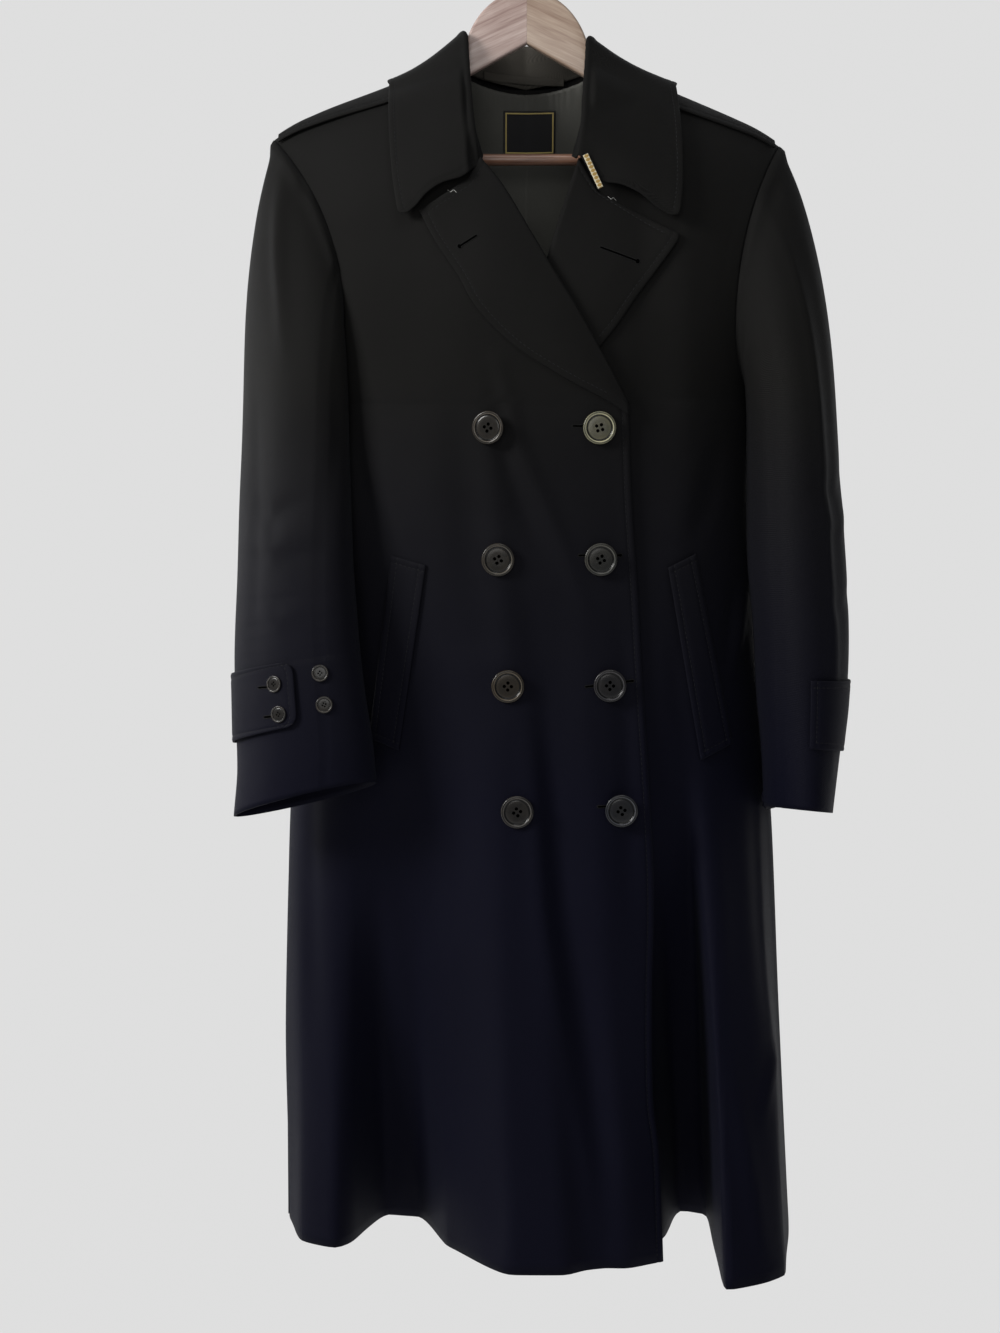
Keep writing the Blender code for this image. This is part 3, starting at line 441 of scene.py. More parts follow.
def clear_of_panels(point, gap):
    """Moves a point of the fall out until it clears the panel under it."""
    x, y, z = point
    if z > ridge_z(x) - 1.0:
        return point
    if y < 4.0:
        return np.array([x, min(y, front_at(x, z, x)[1] - gap), z])
    return np.array([x, max(y, back_at(x, z)[1] + gap), z])


def collar_row(share):
    side, (base, roll, edge) = collar_station(share)
    out = edge - base
    out[2] = 0.0
    out /= np.linalg.norm(out)
    below = np.array([0.0, 0.0, ROLL_THICKNESS])
    inner = roll - out * ROLL_THICKNESS - below
    outer = roll + out * ROLL_THICKNESS - below
    near_gorge = ease(1.0 - 9.0 * min(share, 2.0 - share))
    for point in (inner, roll, outer):
        point[2] -= GORGE_DROP[side] * near_gorge
    line = [base, (base + inner) / 2, inner, roll, outer]
    station = min(share, 2.0 - share) * (len(COLLAR_STATIONS) - 1)
    on_shoulder = math.exp(-(((station - 4.5) / 1.1) ** 2))
    from_corner = min(share, 2.0 - share) * COLLAR_HALF_LENGTH
    last = 1.0 - corner_cut(from_corner, COLLAR_CORNER) / float(np.linalg.norm(edge - outer))
    for k in range(1, FALL_STEPS + 1):
        t = last * k / FALL_STEPS
        arch = math.sin(math.pi * t)
        point = mix(outer, edge, t) + out * FALL_SWELL * arch * (1.0 - on_shoulder)
        point[2] += through(GORGE_PLACES, GORGE_RISES[side], t) * near_gorge
        point[2] -= FALL_SAG * arch * on_shoulder
        line.append(clear_of_panels(point, COLLAR_CLEARANCE))
    return line


# Lapels. Rows from the gorge to the break: roll_x, roll_z, edge_x and edge_z.
RIGHT_LAPEL_ROWS = (
    (-41.5, -231.0, -93.0, -276.0),
    (-22.0, -256.0, -79.5, -302.0),
    (0.0, -293.0, -60.5, -331.0),
    (20.0, -327.0, -43.0, -361.0),
    (42.0, -363.0, -12.0, -392.0),
    (60.0, -395.0, 27.0, -417.0),
    (76.0, -424.0, 66.0, -438.0),
    (86.5, -442.5, 87.0, -451.0),
)
LEFT_LAPEL_ROWS = (
    (45.5, -231.0, 131.0, -295.0),
    (38.0, -256.0, 128.0, -303.0),
    (28.0, -288.0, 112.0, -325.0),
    (19.0, -318.0, 94.0, -349.0),
    (9.0, -352.0, 73.0, -379.0),
    (-1.0, -388.0, 46.0, -408.0),
    (-9.0, -414.0, 14.0, -426.0),
    (-15.0, -436.0, -14.0, -440.0),
)
LAPEL_DIPS = {-1: 9.0, 1: 17.0}
# Shoulder straps
EPAULETTE_INNER_X = 100.0
EPAULETTE_OUTER_X = 221.0
STRAP_LIFT = 2.4
# Pocket welts: the four corners on each front.
WELT_LIFT = {-1: 2.4, 1: 3.4}
WELTS = {
    -1: ((-118.0, -571.0), (-87.5, -579.5), (-138.5, -731.0), (-112.0, -741.0)),
    1: ((147.0, -570.0), (122.0, -582.0), (182.0, -738.0), (152.5, -751.0)),
}
# Cuff tabs, in degrees round the sleeve and heights at the sleeve's middle
TABS = {
    -1: {"first": -52.0, "last": 92.0, "top": -665.0, "low": -720.5},
    1: {"first": -94.0, "last": 91.0, "top": -680.0, "low": -742.0},
}


def sleeve_normal(side, z, angle):
    step = 0.03
    around = ring_at(side, z, angle + step) - ring_at(side, z, angle - step)
    down = ring_at(side, z - 2.0, angle) - ring_at(side, z + 2.0, angle)
    normal = np.cross(around, down)
    normal /= np.linalg.norm(normal)
    outward = np.array([side * math.cos(angle), -math.sin(angle), 0.0])
    return normal if normal @ outward > 0 else -normal


BIG_RADIUS = 14.2
SMALL_RADIUS = 7.2
SEAT_GAP = 0.3
FRONT_BUTTON_COLUMNS = ("z", "right_x", "left_x", "tip")
FRONT_BUTTONS = (
    (-462.0, -32.0, 61.5, 0.35),
    (-574.5, -25.5, 63.0, 0.0),
    (-683.0, -17.0, 71.0, 0.0),
    (-790.5, -9.0, 81.0, 0.0),
)
# Cuff buttons: degrees round the sleeve and height
CUFF_BUTTONS = {
    -1: ((67.0, -682.0), (70.0, -708.0), (117.0, -679.0), (119.0, -707.0)),
    1: ((-78.0, -697.0), (-78.0, -724.0), (-110.0, -697.0), (-110.0, -724.0)),
}


def inside_back_at(x, z, inset):
    return back_at(x, z) - np.array([0.0, CLOTH + inset, 0.0])


# Hanger
WOOD_HALF = 5.5
WOOD_Y = -1.5
ARM_DROP = 7.5
NECK_DROP = 10.5
ARCH_CENTRE_Z = -143.0
ARCH_HALF_WIDTH = 57.0
ARCH_RISE = 68.0
ARM_END_X = 200.0
BAR_RADIUS = 5.1
BAR_Z = -221.5
BAR_HALF_LENGTH = 184.0
HOOK_INNER_RADIUS = 20.0
HOOK_WIRE = 2.0


# Camera, light and backdrop. The lens and the horizon's row are in the photograph's pixels.
CAMERA_EYE = (-0.0237, -1.8, -0.515)
PHOTO_HEIGHT = 1333.0
LENS_PIXELS = 1978.0
HORIZON_ROW = 490.0
CAMERA_PITCH = math.atan((PHOTO_HEIGHT / 2 - HORIZON_ROW) / LENS_PIXELS)
SENSOR_HEIGHT = 36.0


def set_up_view():
    data = bpy.data.cameras.new("camera")
    data.sensor_fit = "VERTICAL"
    data.sensor_height = SENSOR_HEIGHT
    data.lens = LENS_PIXELS / PHOTO_HEIGHT * SENSOR_HEIGHT
    data.clip_start = 0.05
    camera = bpy.data.objects.new("camera", data)
    camera.location = CAMERA_EYE
    camera.rotation_euler = (math.pi / 2 - CAMERA_PITCH, 0.0, 0.0)
    bpy.context.scene.collection.objects.link(camera)
    bpy.context.scene.camera = camera


LIGHT_COLUMNS = ("name", "place", "target", "size", "power", "colour")
LIGHTS = (
    ("key", (-2.6, -1.5, 0.9), (0.0, 0.0, -0.5), 1.1, 112.0, (1.0, 0.99, 0.97)),
    ("fill", (-0.3, -2.3, 0.0), (0.0, 0.0, -0.35), 0.9, 9.0, (1.0, 0.99, 0.97)),
    ("top", (0.3, -1.0, 1.5), (0.0, 0.0, -0.3), 0.9, 8.0, (1.0, 1.0, 1.0)),
    ("left rim", (-1.8, 0.7, -0.2), (0.0, 0.0, -0.6), 1.0, 14.0, (1.0, 1.0, 1.0)),
)
WORLD_COLOUR = (0.93, 0.94, 0.96, 1.0)
WORLD_STRENGTH = 0.22
BACKDROP_GLOW = 0.725
# The stage's profile, in its own units: floor, curve and wall, and half its width
FLOOR_Z = -1.02
FLOOR_FRONT_Y = -3.2
CURVE_START_Y = 0.9
CURVE_RADIUS = 0.7
WALL_TOP_Z = 3.0
STAGE_HALF_WIDTH = 3.6
STAGE_MIDDLE_Z = -0.6
STAGE_SIZE = 3.0


def set_up_light():
    bpy.context.scene.view_settings.view_transform = "Standard"
    for light in rows_of(LIGHT_COLUMNS, LIGHTS):
        data = bpy.data.lights.new(light["name"], "AREA")
        data.shape = "SQUARE"
        data.size = light["size"]
        data.energy = light["power"]
        data.color = light["colour"]
        lamp = bpy.data.objects.new(light["name"], data)
        lamp.location = light["place"]
        way = Vector(light["target"]) - Vector(light["place"])
        lamp.rotation_euler = way.to_track_quat("-Z", "Y").to_euler()
        bpy.context.scene.collection.objects.link(lamp)
    world = bpy.data.worlds.new("studio")
    world.use_nodes = True
    background = world.node_tree.nodes["Background"].inputs
    background["Color"].default_value = WORLD_COLOUR
    background["Strength"].default_value = WORLD_STRENGTH
    bpy.context.scene.world = world


def set_up_stage():
    """A pale floor that sweeps up behind the coat in one curve, far enough off to see behind it."""
    bm = bmesh.new()
    profile = [(FLOOR_FRONT_Y, FLOOR_Z), (CURVE_START_Y, FLOOR_Z)]
    for k in range(1, 13):
        angle = math.pi / 2 * k / 12
        y = CURVE_START_Y + CURVE_RADIUS * math.sin(angle)
        profile.append((y, FLOOR_Z + CURVE_RADIUS - CURVE_RADIUS * math.cos(angle)))
    profile.append((CURVE_START_Y + CURVE_RADIUS, WALL_TOP_Z))
    left = -STAGE_HALF_WIDTH * STAGE_SIZE
    verts = []
    for y, z in profile:
        verts.append(bm.verts.new((left, y * STAGE_SIZE, STAGE_MIDDLE_Z + z * STAGE_SIZE)))
    edges = [bm.edges.new(pair) for pair in zip(verts, verts[1:])]
    grown = bmesh.ops.extrude_edge_only(bm, edges=edges)
    bmesh.ops.translate(bm, vec=(-2.0 * left, 0.0, 0.0), verts=parts_of(grown, bmesh.types.BMVert))
    bmesh.ops.recalc_face_normals(bm, faces=bm.faces)
    paper = plain("backdrop paper", (0.02, 0.02, 0.02), 1.0)
    shader = paper.node_tree.nodes["Principled BSDF"]
    shader.inputs["Specular IOR Level"].default_value = 0.0
    shader.inputs["Emission Color"].default_value = (1.0, 1.0, 1.0, 1.0)
    shader.inputs["Emission Strength"].default_value = BACKDROP_GLOW
    made = mesh_object("backdrop", bm, paper)


# Materials
def plain(name, colour, roughness, metallic=0.0):
    made = bpy.data.materials.get(name) or bpy.data.materials.new(name)
    made.use_nodes = True
    shader = made.node_tree.nodes["Principled BSDF"]
    shader.inputs["Base Color"].default_value = (*colour, 1.0)
    shader.inputs["Roughness"].default_value = roughness
    shader.inputs["Metallic"].default_value = metallic
    return made


class Wiring:
    """Short names for adding and joining nodes in one tree."""

    def __init__(self, tree):
        self.tree = tree

    def feed(self, node, inputs):
        """Sets a node's inputs by name, each to a value or joined to another node's output."""
        for name, value in inputs.items():
            if isinstance(value, bpy.types.NodeSocket):
                self.tree.links.new(value, node.inputs[name])
            else:
                node.inputs[name].default_value = value

    def node(self, kind, inputs=None, **settings):
        made = self.tree.nodes.new(kind)
        for name, value in settings.items():
            setattr(made, name, value)
        self.feed(made, inputs or {})
        return made

    def maths(self, operation, *values):
        made = self.node("ShaderNodeMath", operation=operation)
        for socket, value in zip(made.inputs, values):
            if isinstance(value, (int, float)):
                socket.default_value = value
            else:
                self.tree.links.new(value, socket)
        return made.outputs[0]

    def add(self, a, b):
        return self.maths("ADD", a, b)

    def times(self, a, b):
        return self.maths("MULTIPLY", a, b)

    def noise(self, vector, scale, **more):
        """A noise texture's value. more holds its other inputs, such as Detail."""
        made = self.node("ShaderNodeTexNoise", {"Vector": vector, "Scale": scale, **more})
        return made.outputs["Fac"]

    def split(self, vector):
        return self.node("ShaderNodeSeparateXYZ", {"Vector": vector}).outputs

    def bump(self, height, strength, distance, **more):
        inputs = {"Height": height, "Strength": strength, "Distance": distance, **more}
        return self.node("ShaderNodeBump", inputs).outputs["Normal"]

    def ramp(self, fac, stops):
        made = self.node("ShaderNodeValToRGB", {"Fac": fac})
        line = made.color_ramp
        for place, _ in stops[1:-1]:
            line.elements.new(place)
        for element, (place, colour) in zip(line.elements, stops):
            element.position = place
            element.color = (*colour, 1.0)
        return made.outputs["Color"]

    def greys(self, fac, low, high):
        """A ramp between two greys, each given as its place and its level."""
        return self.ramp(fac, [(place, (level, level, level)) for place, level in (low, high)])

    def blend(self, fac, first, second, mode="MIX"):
        made = self.node("ShaderNodeMix", data_type="RGBA", blend_type=mode)
        for name, value in (("Factor", fac), ("A", first), ("B", second)):
            self.feed(made, {name: (*value, 1.0) if isinstance(value, tuple) else value})
        return made.outputs["Result"]


def opened(made):
    """A material's wiring, its shader, and its places: the map and the object's own space."""
    wires = Wiring(made.node_tree)
    shader = made.node_tree.nodes["Principled BSDF"]
    return wires, shader, wires.node("ShaderNodeTexCoord").outputs


@cache
def weave_group():
    """Twill: fine slanting ribs crossed by threads, on a map in metres."""
    tree = bpy.data.node_groups.new("twill weave", "ShaderNodeTree")
    side = tree.interface
    side.new_socket("Vector", in_out="INPUT", socket_type="NodeSocketVector")
    side.new_socket("Ribs per metre", in_out="INPUT", socket_type="NodeSocketFloat")
    side.new_socket("Height", in_out="OUTPUT", socket_type="NodeSocketFloat")
    side.new_socket("Shade", in_out="OUTPUT", socket_type="NodeSocketFloat")
    wires = Wiring(tree)
    given = wires.node("NodeGroupInput").outputs
    split = wires.split(given["Vector"])
    across = wires.times(split["X"], given["Ribs per metre"])
    down = wires.times(split["Y"], given["Ribs per metre"])
    slant = wires.add(across, wires.times(down, 0.55))
    rib = wires.maths("SINE", wires.times(slant, math.tau))
    cross = wires.maths("SINE", wires.times(wires.maths("SUBTRACT", across, down), math.tau))
    height = wires.add(wires.times(rib, 0.75), wires.times(cross, 0.25))
    slubs = wires.noise(given["Vector"], 900.0, Detail=2.0)
    shade = wires.add(wires.times(height, 0.35), wires.times(slubs, 0.5))
    wires.node("NodeGroupOutput", {"Height": height, "Shade": shade})
    return tree


# The height, as metres below the hook, where the cloth starts to turn darker and bluer, and over what
# drop
LOW_COLOUR_FROM = 0.42
LOW_COLOUR_OVER = 0.36


def cloth_material(name, dark, light, ribs, sheen, roughness, cockle=0.0012, shine=0.3, low=None):
    """Woven cloth: ribs from the map, slow unevenness and colour from the object's own space.
    low holds the dark and light colours of the lower part, where they differ."""
    made = plain(name, dark, roughness)
    wires, shader, place = opened(made)
    weave = wires.node("ShaderNodeGroup", node_tree=weave_group())
    wires.feed(weave, {"Ribs per metre": ribs, "Vector": place["UV"]})
    broad = wires.noise(place["Object"], 5.0, Detail=4.0)
    tone = wires.add(wires.times(broad, 0.5), weave.outputs["Shade"])
    colour = wires.ramp(tone, ((0.1, dark), (0.75, light)))
    if low:
        above = wires.add(wires.split(place["Object"])["Z"], LOW_COLOUR_FROM)
        below = wires.times(above, -1.0 / LOW_COLOUR_OVER)
        share = wires.maths("MINIMUM", wires.maths("MAXIMUM", below, 0.0), 1.0)
        colour = wires.blend(share, colour, wires.ramp(tone, ((0.1, low[0]), (0.75, low[1]))))
    ribbed = wires.bump(weave.outputs["Height"], 0.35, 0.00025)
    cockling = wires.noise(place["Object"], 34.0, Detail=3.0, Roughness=0.45)
    finish = {
        "Base Color": colour,
        "Normal": wires.bump(cockling, 0.5, cockle, Normal=ribbed),
        "Sheen Weight": sheen,
        "Sheen Roughness": 0.45,
        "Sheen Tint": (0.75, 0.8, 0.9, 1.0),
        "Specular IOR Level": shine,
    }
    wires.feed(shader, finish)
    return made


@cache
def gabardine():
    dark = (0.0032, 0.0031, 0.0030)
    light = (0.0078, 0.0076, 0.0072)
    low = ((0.0012, 0.0013, 0.0046), (0.0030, 0.0031, 0.0094))
    return cloth_material("woven gabardine", dark, light, 1250.0, 0.015, 0.6, shine=0.055, low=low)


# The coat's cloth painted about eight times paler: painted light for the stand's inside and the hanging
# loop, which lie in the hanger's shadow.
@cache
def stand_cloth_painted_lit():
    dark = (0.030, 0.028, 0.024)
    light = (0.060, 0.056, 0.048)
    return cloth_material("stand cloth", dark, light, 1250.0, 0.02, 0.6, shine=0.1)


@cache
def satin():
    dark = (0.036, 0.036, 0.032)
    light = (0.084, 0.084, 0.075)
    return cloth_material("lining satin", dark, light, 2600.0, 0.1, 0.4, 0.0008, shine=0.25)


@cache
def thread():
    dark = (0.005, 0.005, 0.006)
    light = (0.012, 0.012, 0.013)
    return cloth_material("thread", dark, light, 3000.0, 0.05, 0.55, 0.0, shine=0.15)


@cache
def buttonhole_twist():
    dark = (0.004, 0.004, 0.004)
    light = (0.010, 0.010, 0.0095)
    return cloth_material("buttonhole twist", dark, light, 3000.0, 0.02, 0.7, 0.0, shine=0.1)


@cache
def pale_thread():
    dark = (0.25, 0.25, 0.24)
    light = (0.4, 0.4, 0.38)
    return cloth_material("basting thread", dark, light, 3000.0, 0.1, 0.6, 0.0)


# Near-black cloth: painted shadow in buttonhole slits and eyes and in the buttons' holes.
@cache
def painted_shadow_black():
    dark = (0.0004, 0.0004, 0.0004)
    light = (0.0008, 0.0008, 0.0008)
    return cloth_material("shadowed cloth", dark, light, 1250.0, 0.0, 1.0, 0.0, shine=0.0)


def painted(made, mask, colour):
    """Blends a flat colour into a cloth material's own where mask is 1."""
    wires, shader, _ = opened(made)
    before = shader.inputs["Base Color"].links[0].from_socket
    wires.feed(shader, {"Base Color": wires.blend(mask, before, colour)})
    return made


LABEL_WIDTH = 47.0
LABEL_HEIGHT = 39.0
LABEL_LINE_INSET = 0.0022
LABEL_LINE_HALF = 0.0006


@cache
def label_cloth():
    """Black satin with a woven gold line near its edge. The map is in metres."""
    dark = (0.006, 0.006, 0.007)
    light = (0.014, 0.014, 0.015)
    made = cloth_material("label cloth", dark, light, 3200.0, 0.05, 0.35, 0.0004)
    wires, _, place = opened(made)
    split = wires.split(place["UV"])
    insides = []
    for out, size in ((split["X"], LABEL_WIDTH * MM), (split["Y"], LABEL_HEIGHT * MM)):
        insides.append(wires.maths("MINIMUM", out, wires.maths("SUBTRACT", size, out)))
    edge = wires.maths("MINIMUM", *insides)
    away = wires.maths("ABSOLUTE", wires.maths("SUBTRACT", edge, LABEL_LINE_INSET))
    return painted(made, wires.maths("LESS_THAN", away, LABEL_LINE_HALF), (0.42, 0.33, 0.12))


@cache
def tape_cloth():
    """Cream tape with a gold lozenge woven along it. The map is in metres."""
    dark = (0.45, 0.40, 0.27)
    light = (0.62, 0.57, 0.42)
    made = cloth_material("tape cloth", dark, light, 2200.0, 0.1, 0.5, 0.0)
    wires, _, place = opened(made)
    split = wires.split(place["UV"])
    along = wires.maths("ABSOLUTE", wires.maths("SINE", wires.times(split["Y"], 900.0)))
    across = wires.maths("ABSOLUTE", wires.maths("SINE", wires.times(split["X"], 700.0)))
    figure = wires.maths("GREATER_THAN", wires.add(along, across), 1.15)
    return painted(made, figure, (0.30, 0.19, 0.05))


# Horn colour by distance from a button's middle: the disc's dark tone, thin pale rings on the rim as
# painted highlights, and black in the groove inside the rim and at its outer edge as painted shade.
# Then a tint for each button
HORN_TONE_AND_PAINTED_LIGHT_RINGS = (
    (0.0, 0.009), (0.5, 0.0105), (0.68, 0.015), (0.71, 0.001), (0.79, 0.001), (0.815, 0.05),
    (0.845, 0.075), (0.875, 0.014), (0.93, 0.008), (0.955, 0.04), (0.98, 0.02), (1.0, 0.002),
)
HORN_TINT = (0.95, 0.9, 0.82)
HORN_TINTS_AND_PAINTED_GLINT = {
    "front_button_right_1": (1.0, 0.9, 0.75),
    "front_button_right_2": (1.05, 0.97, 0.8),
    "front_button_right_3": (1.15, 0.98, 0.72),
    "front_button_right_4": (0.85, 0.82, 0.78),
    # Painted highlight: this button's whole horn is made about 4.6 times paler, standing in for the
    # light it catches.
    "front_button_left_1": (4.6, 4.7, 3.2),
    "front_button_left_2": (1.0, 1.05, 0.95),
    "front_button_left_3": (0.6, 0.6, 0.68),
    "front_button_left_4": (0.72, 0.78, 0.92),
}


@cache
def horn(name, tint):
    """Glossy dark horn with faint clouds, and highlights and shade painted in rings on its rim. The map
    is in radii.
    """
    made = plain(name, (0.01, 0.009, 0.008), 0.25)
    wires, shader, place = opened(made)
    reach = wires.node("ShaderNodeVectorMath", {"Vector": place["UV"]}, operation="LENGTH")
    stops = [(at, tuple(level * part for part in tint)) for at, level in HORN_TONE_AND_PAINTED_LIGHT_RINGS]
    # These rings carry the painted rim highlights and the painted shade in the groove and at the edge.
    rings = wires.ramp(reach.outputs["Value"], stops)
    clouds = wires.noise(place["Object"], 70.0, Detail=5.0, Distortion=0.8)
    shade = wires.ramp(clouds, ((0.35, (0.8, 0.8, 0.82)), (0.7, (1.3, 1.18, 1.08))))
    finish = {
        "Base Color": wires.blend(1.0, rings, shade, "MULTIPLY"),
        "Roughness": wires.greys(clouds, (0.2, 0.24), (0.9, 0.32)),
        "Coat Weight": 0.12,
        "Coat Roughness": 0.15,
        "Specular IOR Level": 0.22,
    }
    wires.feed(shader, finish)
    return made


def horn_of(button):
    if button in HORN_TINTS_AND_PAINTED_GLINT:
        return horn(f"horn of {button}", HORN_TINTS_AND_PAINTED_GLINT[button])
    return horn("horn of the cuff buttons", HORN_TINT)


def wood(name, pale, dark, slope):
    """Varnished wood whose grain runs along a piece that falls by slope in each unit of X."""
    made = plain(name, pale, 0.4)
    wires, shader, place = opened(made)
    turn = {"Vector": place["Object"], "Rotation": (0.0, math.atan(slope), 0.0)}
    turned_place = wires.node("ShaderNodeMapping", turn).outputs["Vector"]
    stretch = {"Vector": turned_place, "Scale": (6.0, 60.0, 95.0)}
    along = wires.node("ShaderNodeMapping", stretch).outputs["Vector"]
    rings = wires.noise(along, 1.6, Detail=6.0, Roughness=0.62, Distortion=0.6)
    pores = wires.noise(along, 9.0, Detail=2.0)
    grain = wires.add(wires.times(rings, 0.75), wires.times(pores, 0.25))
    finish = {
        "Base Color": wires.ramp(grain, ((0.36, dark), (0.62, pale))),
        "Normal": wires.bump(grain, 0.15, 0.0003),
        "Coat Weight": 0.35,
        "Coat Roughness": 0.2,
    }
    wires.feed(shader, finish)
    return made


def steel():
    """Bright wire with fine drawing marks."""
    made = plain("hook steel", (0.62, 0.62, 0.61), 0.2, 1.0)
    wires, shader, place = opened(made)
    marks = wires.noise(place["Object"], 300.0)
    wires.feed(shader, {"Roughness": wires.greys(marks, (0.3, 0.14), (0.8, 0.32))})
    return made


# Meshes from nets
def mesh_object(name, bm, finish):
    mesh = bpy.data.meshes.new(name)
    bm.to_mesh(mesh)
    bm.free()
    mesh.materials.append(finish)
    made = bpy.data.objects.new(name, mesh)
    bpy.context.scene.collection.objects.link(made)
    made.data.shade_smooth()
    return made


def parts_of(grown, kind):
    """The new elements of one kind that an extrusion made."""
    return [item for item in grown["geom"] if isinstance(item, kind)]


def turn_to(way):
    """The turn that takes +Z to way."""
    return Vector((0, 0, 1)).rotation_difference(way).to_matrix().to_4x4()


def trees_of(names):
    graph = bpy.context.evaluated_depsgraph_get()
    return [BVHTree.FromObject(bpy.data.objects[name], graph) for name in names]


def grid_of(rows, columns, point):
    """A net of the points at (down, across), two shares that run from 0 to 1."""
    net = [[point(j / rows, k / columns) for k in range(columns + 1)] for j in range(rows + 1)]
    return np.array(net)


def run_of(points):
    """Lengths along a line of points, from its first."""
    steps = np.linalg.norm(np.diff(points, axis=0), axis=1)
    return np.concatenate([[0.0], np.cumsum(steps)])


def runs_along(net, axis):
    """Lengths along a net's rows or columns, from its first line."""
    steps = np.linalg.norm(np.diff(net, axis=axis), axis=2)
    run = np.cumsum(steps, axis=axis)
    first = np.zeros_like(np.take(run, [0], axis=axis))
    return np.concatenate([first, run], axis=axis)


def net_normals(net, wrapped=False):
    if wrapped:
        padded = np.concatenate([net[:, -2:-1], net, net[:, 1:2]], axis=1)
        across = np.gradient(padded, axis=1)[:, 1:-1]
    else:
        across = np.gradient(net, axis=1)
    down = np.gradient(net, axis=0)
    normals = np.cross(across, down)
    size = np.linalg.norm(normals, axis=2, keepdims=True)
    return normals / np.maximum(size, 1e-9)


def facing(x, y, z, nx, ny, nz):
    """A place in millimetres and the way that the cloth faces there."""
    return np.array([x, y, z], float), np.array([nx, ny, nz], float)


def turned(net, outward, wrapped=False):
    """The net with its columns running so that its normals face outward at one place."""
    place, way = outward
    nearest = np.unravel_index(np.argmin(np.linalg.norm(net - place, axis=2)), net.shape[:2])
    if net_normals(net, wrapped)[nearest] @ way < 0:
        return net[:, ::-1]
    return net


def cloth_object(name, net, finish, thickness=1.6, wrapped=False):
    """A thin wall whose outer face is the net, with a map in metres along the cloth."""
    rows, columns = net.shape[0] - 1, net.shape[1] - 1
    across = runs_along(net, 1)
    down = runs_along(net, 0)
    bm = bmesh.new()
    bmesh.ops.create_grid(bm, x_segments=columns, y_segments=rows, size=1.0)
    cloth_map = bm.loops.layers.uv.new("cloth")
    spots = {}
    for vert in bm.verts:
        i = round((vert.co.x + 1.0) / 2.0 * columns)
        j = round((vert.co.y + 1.0) / 2.0 * rows)
        spots[vert] = (j, i)
    for vert, (j, i) in spots.items():
        vert.co = Vector(net[j, i]) * MM
    for face in bm.faces:
        for loop in face.loops:
            j, i = spots[loop.vert]
            loop[cloth_map].uv = (across[j, i] * MM, down[j, i] * MM)
    if wrapped:
        bmesh.ops.remove_doubles(bm, verts=bm.verts, dist=1e-6)
    bm.normal_update()
    bm.faces.ensure_lookup_table()
    middle = bm.faces[len(bm.faces) // 2]
    normals = net_normals(net, wrapped)
    centre = middle.calc_center_median() / MM
    flat = np.argmin(np.linalg.norm(net.reshape(-1, 3) - np.array(centre), axis=1))
    if Vector(normals.reshape(-1, 3)[flat]).dot(middle.normal) < 0:
        bmesh.ops.reverse_faces(bm, faces=bm.faces)
    made = mesh_object(name, bm, finish)
    wall = made.modifiers.new("wall", "SOLIDIFY")
    wall.thickness = thickness * MM
    wall.offset = -1.0
    wall.use_even_offset = False
    return made


def dress(made, nodes):
    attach(made, "root")
    if nodes:
        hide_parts(*nodes)
    return made


LEAST_AREA_SHARE = 0.31


def declare_sheet(made, net, pieces=()):
    """Works out the cut that shows, measured on the net: its width, length and area."""
    width = float(runs_along(net, 1)[:, -1].max()) * MM
    length = float(runs_along(net, 0)[-1].max()) * MM
    first = np.cross(net[1:, 1:] - net[:-1, :-1], net[1:, :-1] - net[:-1, 1:])
    area = float(np.linalg.norm(first, axis=2).sum() / 2) * MM * MM
    area = min(max(area, LEAST_AREA_SHARE * width * length), width * length)


def make_sheet(name, net, nodes, thickness=1.6, stitched=(), wrapped=False):
    """A dressed piece of gabardine and its stitches along the given lines, with its cut measured."""
    made = cloth_object(f"{name}_cloth", net, gabardine(), thickness, wrapped)
    dress(made, nodes)
    rows = [stitching(f"{name}_stitching", stitched)] if len(stitched) else []
    declare_sheet(made, net, rows)
    return made


# Rims: a stitched edge is laid with close rows, so that it can puff and sink. The rows past
# the rim fade its rise out. The stitches run along the row numbered STITCH_STEP.
RIM = (0.0, 1.2, 3.0, 4.8, 6.0, 7.2, 9.0)
RIM_RISE = (-0.35, 0.1, 0.4, 0.1, -0.4, 0.05, 0.15)
RIM_END = 16.0
STITCH_STEP = 4
SOFT_PUFF = 0.45
FLAT_PUFF = 0.7


def dense(points, count=160):
    """A smooth line through a few points."""
    points = np.array(points, float)
    steps = np.linalg.norm(np.diff(points, axis=0), axis=1)
    run = np.concatenate([[0.0], np.cumsum(np.maximum(steps, 1e-6))])
    wanted = np.linspace(0.0, run[-1], count + 1)
    places = list(run)
    columns = [list(points[:, k]) for k in range(3)]
    return np.array([[through(places, column, at) for column in columns] for at in wanted])


def places_along(length, count, first, last):
    """Lengths along a line with close steps at stitched ends."""
    rim = RIM[-1]
    fit = min(1.0, length / (2.4 * rim))
    low = [step * fit for step in RIM] if first else [0.0]
    high = [length - step * fit for step in RIM][::-1] if last else [length]
    left = count - (len(low) - 1) - (len(high) - 1)
    between = np.linspace(low[-1], high[0], left + 1)[1:-1]
    return np.concatenate([low, between, high])


def relaid(points, count, first=False, last=False):
    """The same line with new points, close together at stitched ends."""
    points = np.array(points, float)
    run = run_of(points)
    wanted = places_along(run[-1], count, first, last)
    return np.stack([np.interp(wanted, run, points[:, k]) for k in range(3)], axis=1)


def relaid_net(net, rows, columns, left=False, right=False, top=False, low=False):
    net = np.array([relaid(line, columns, left, right) for line in net])
    return np.stack([relaid(net[:, i], rows, top, low) for i in range(net.shape[1])], axis=1)


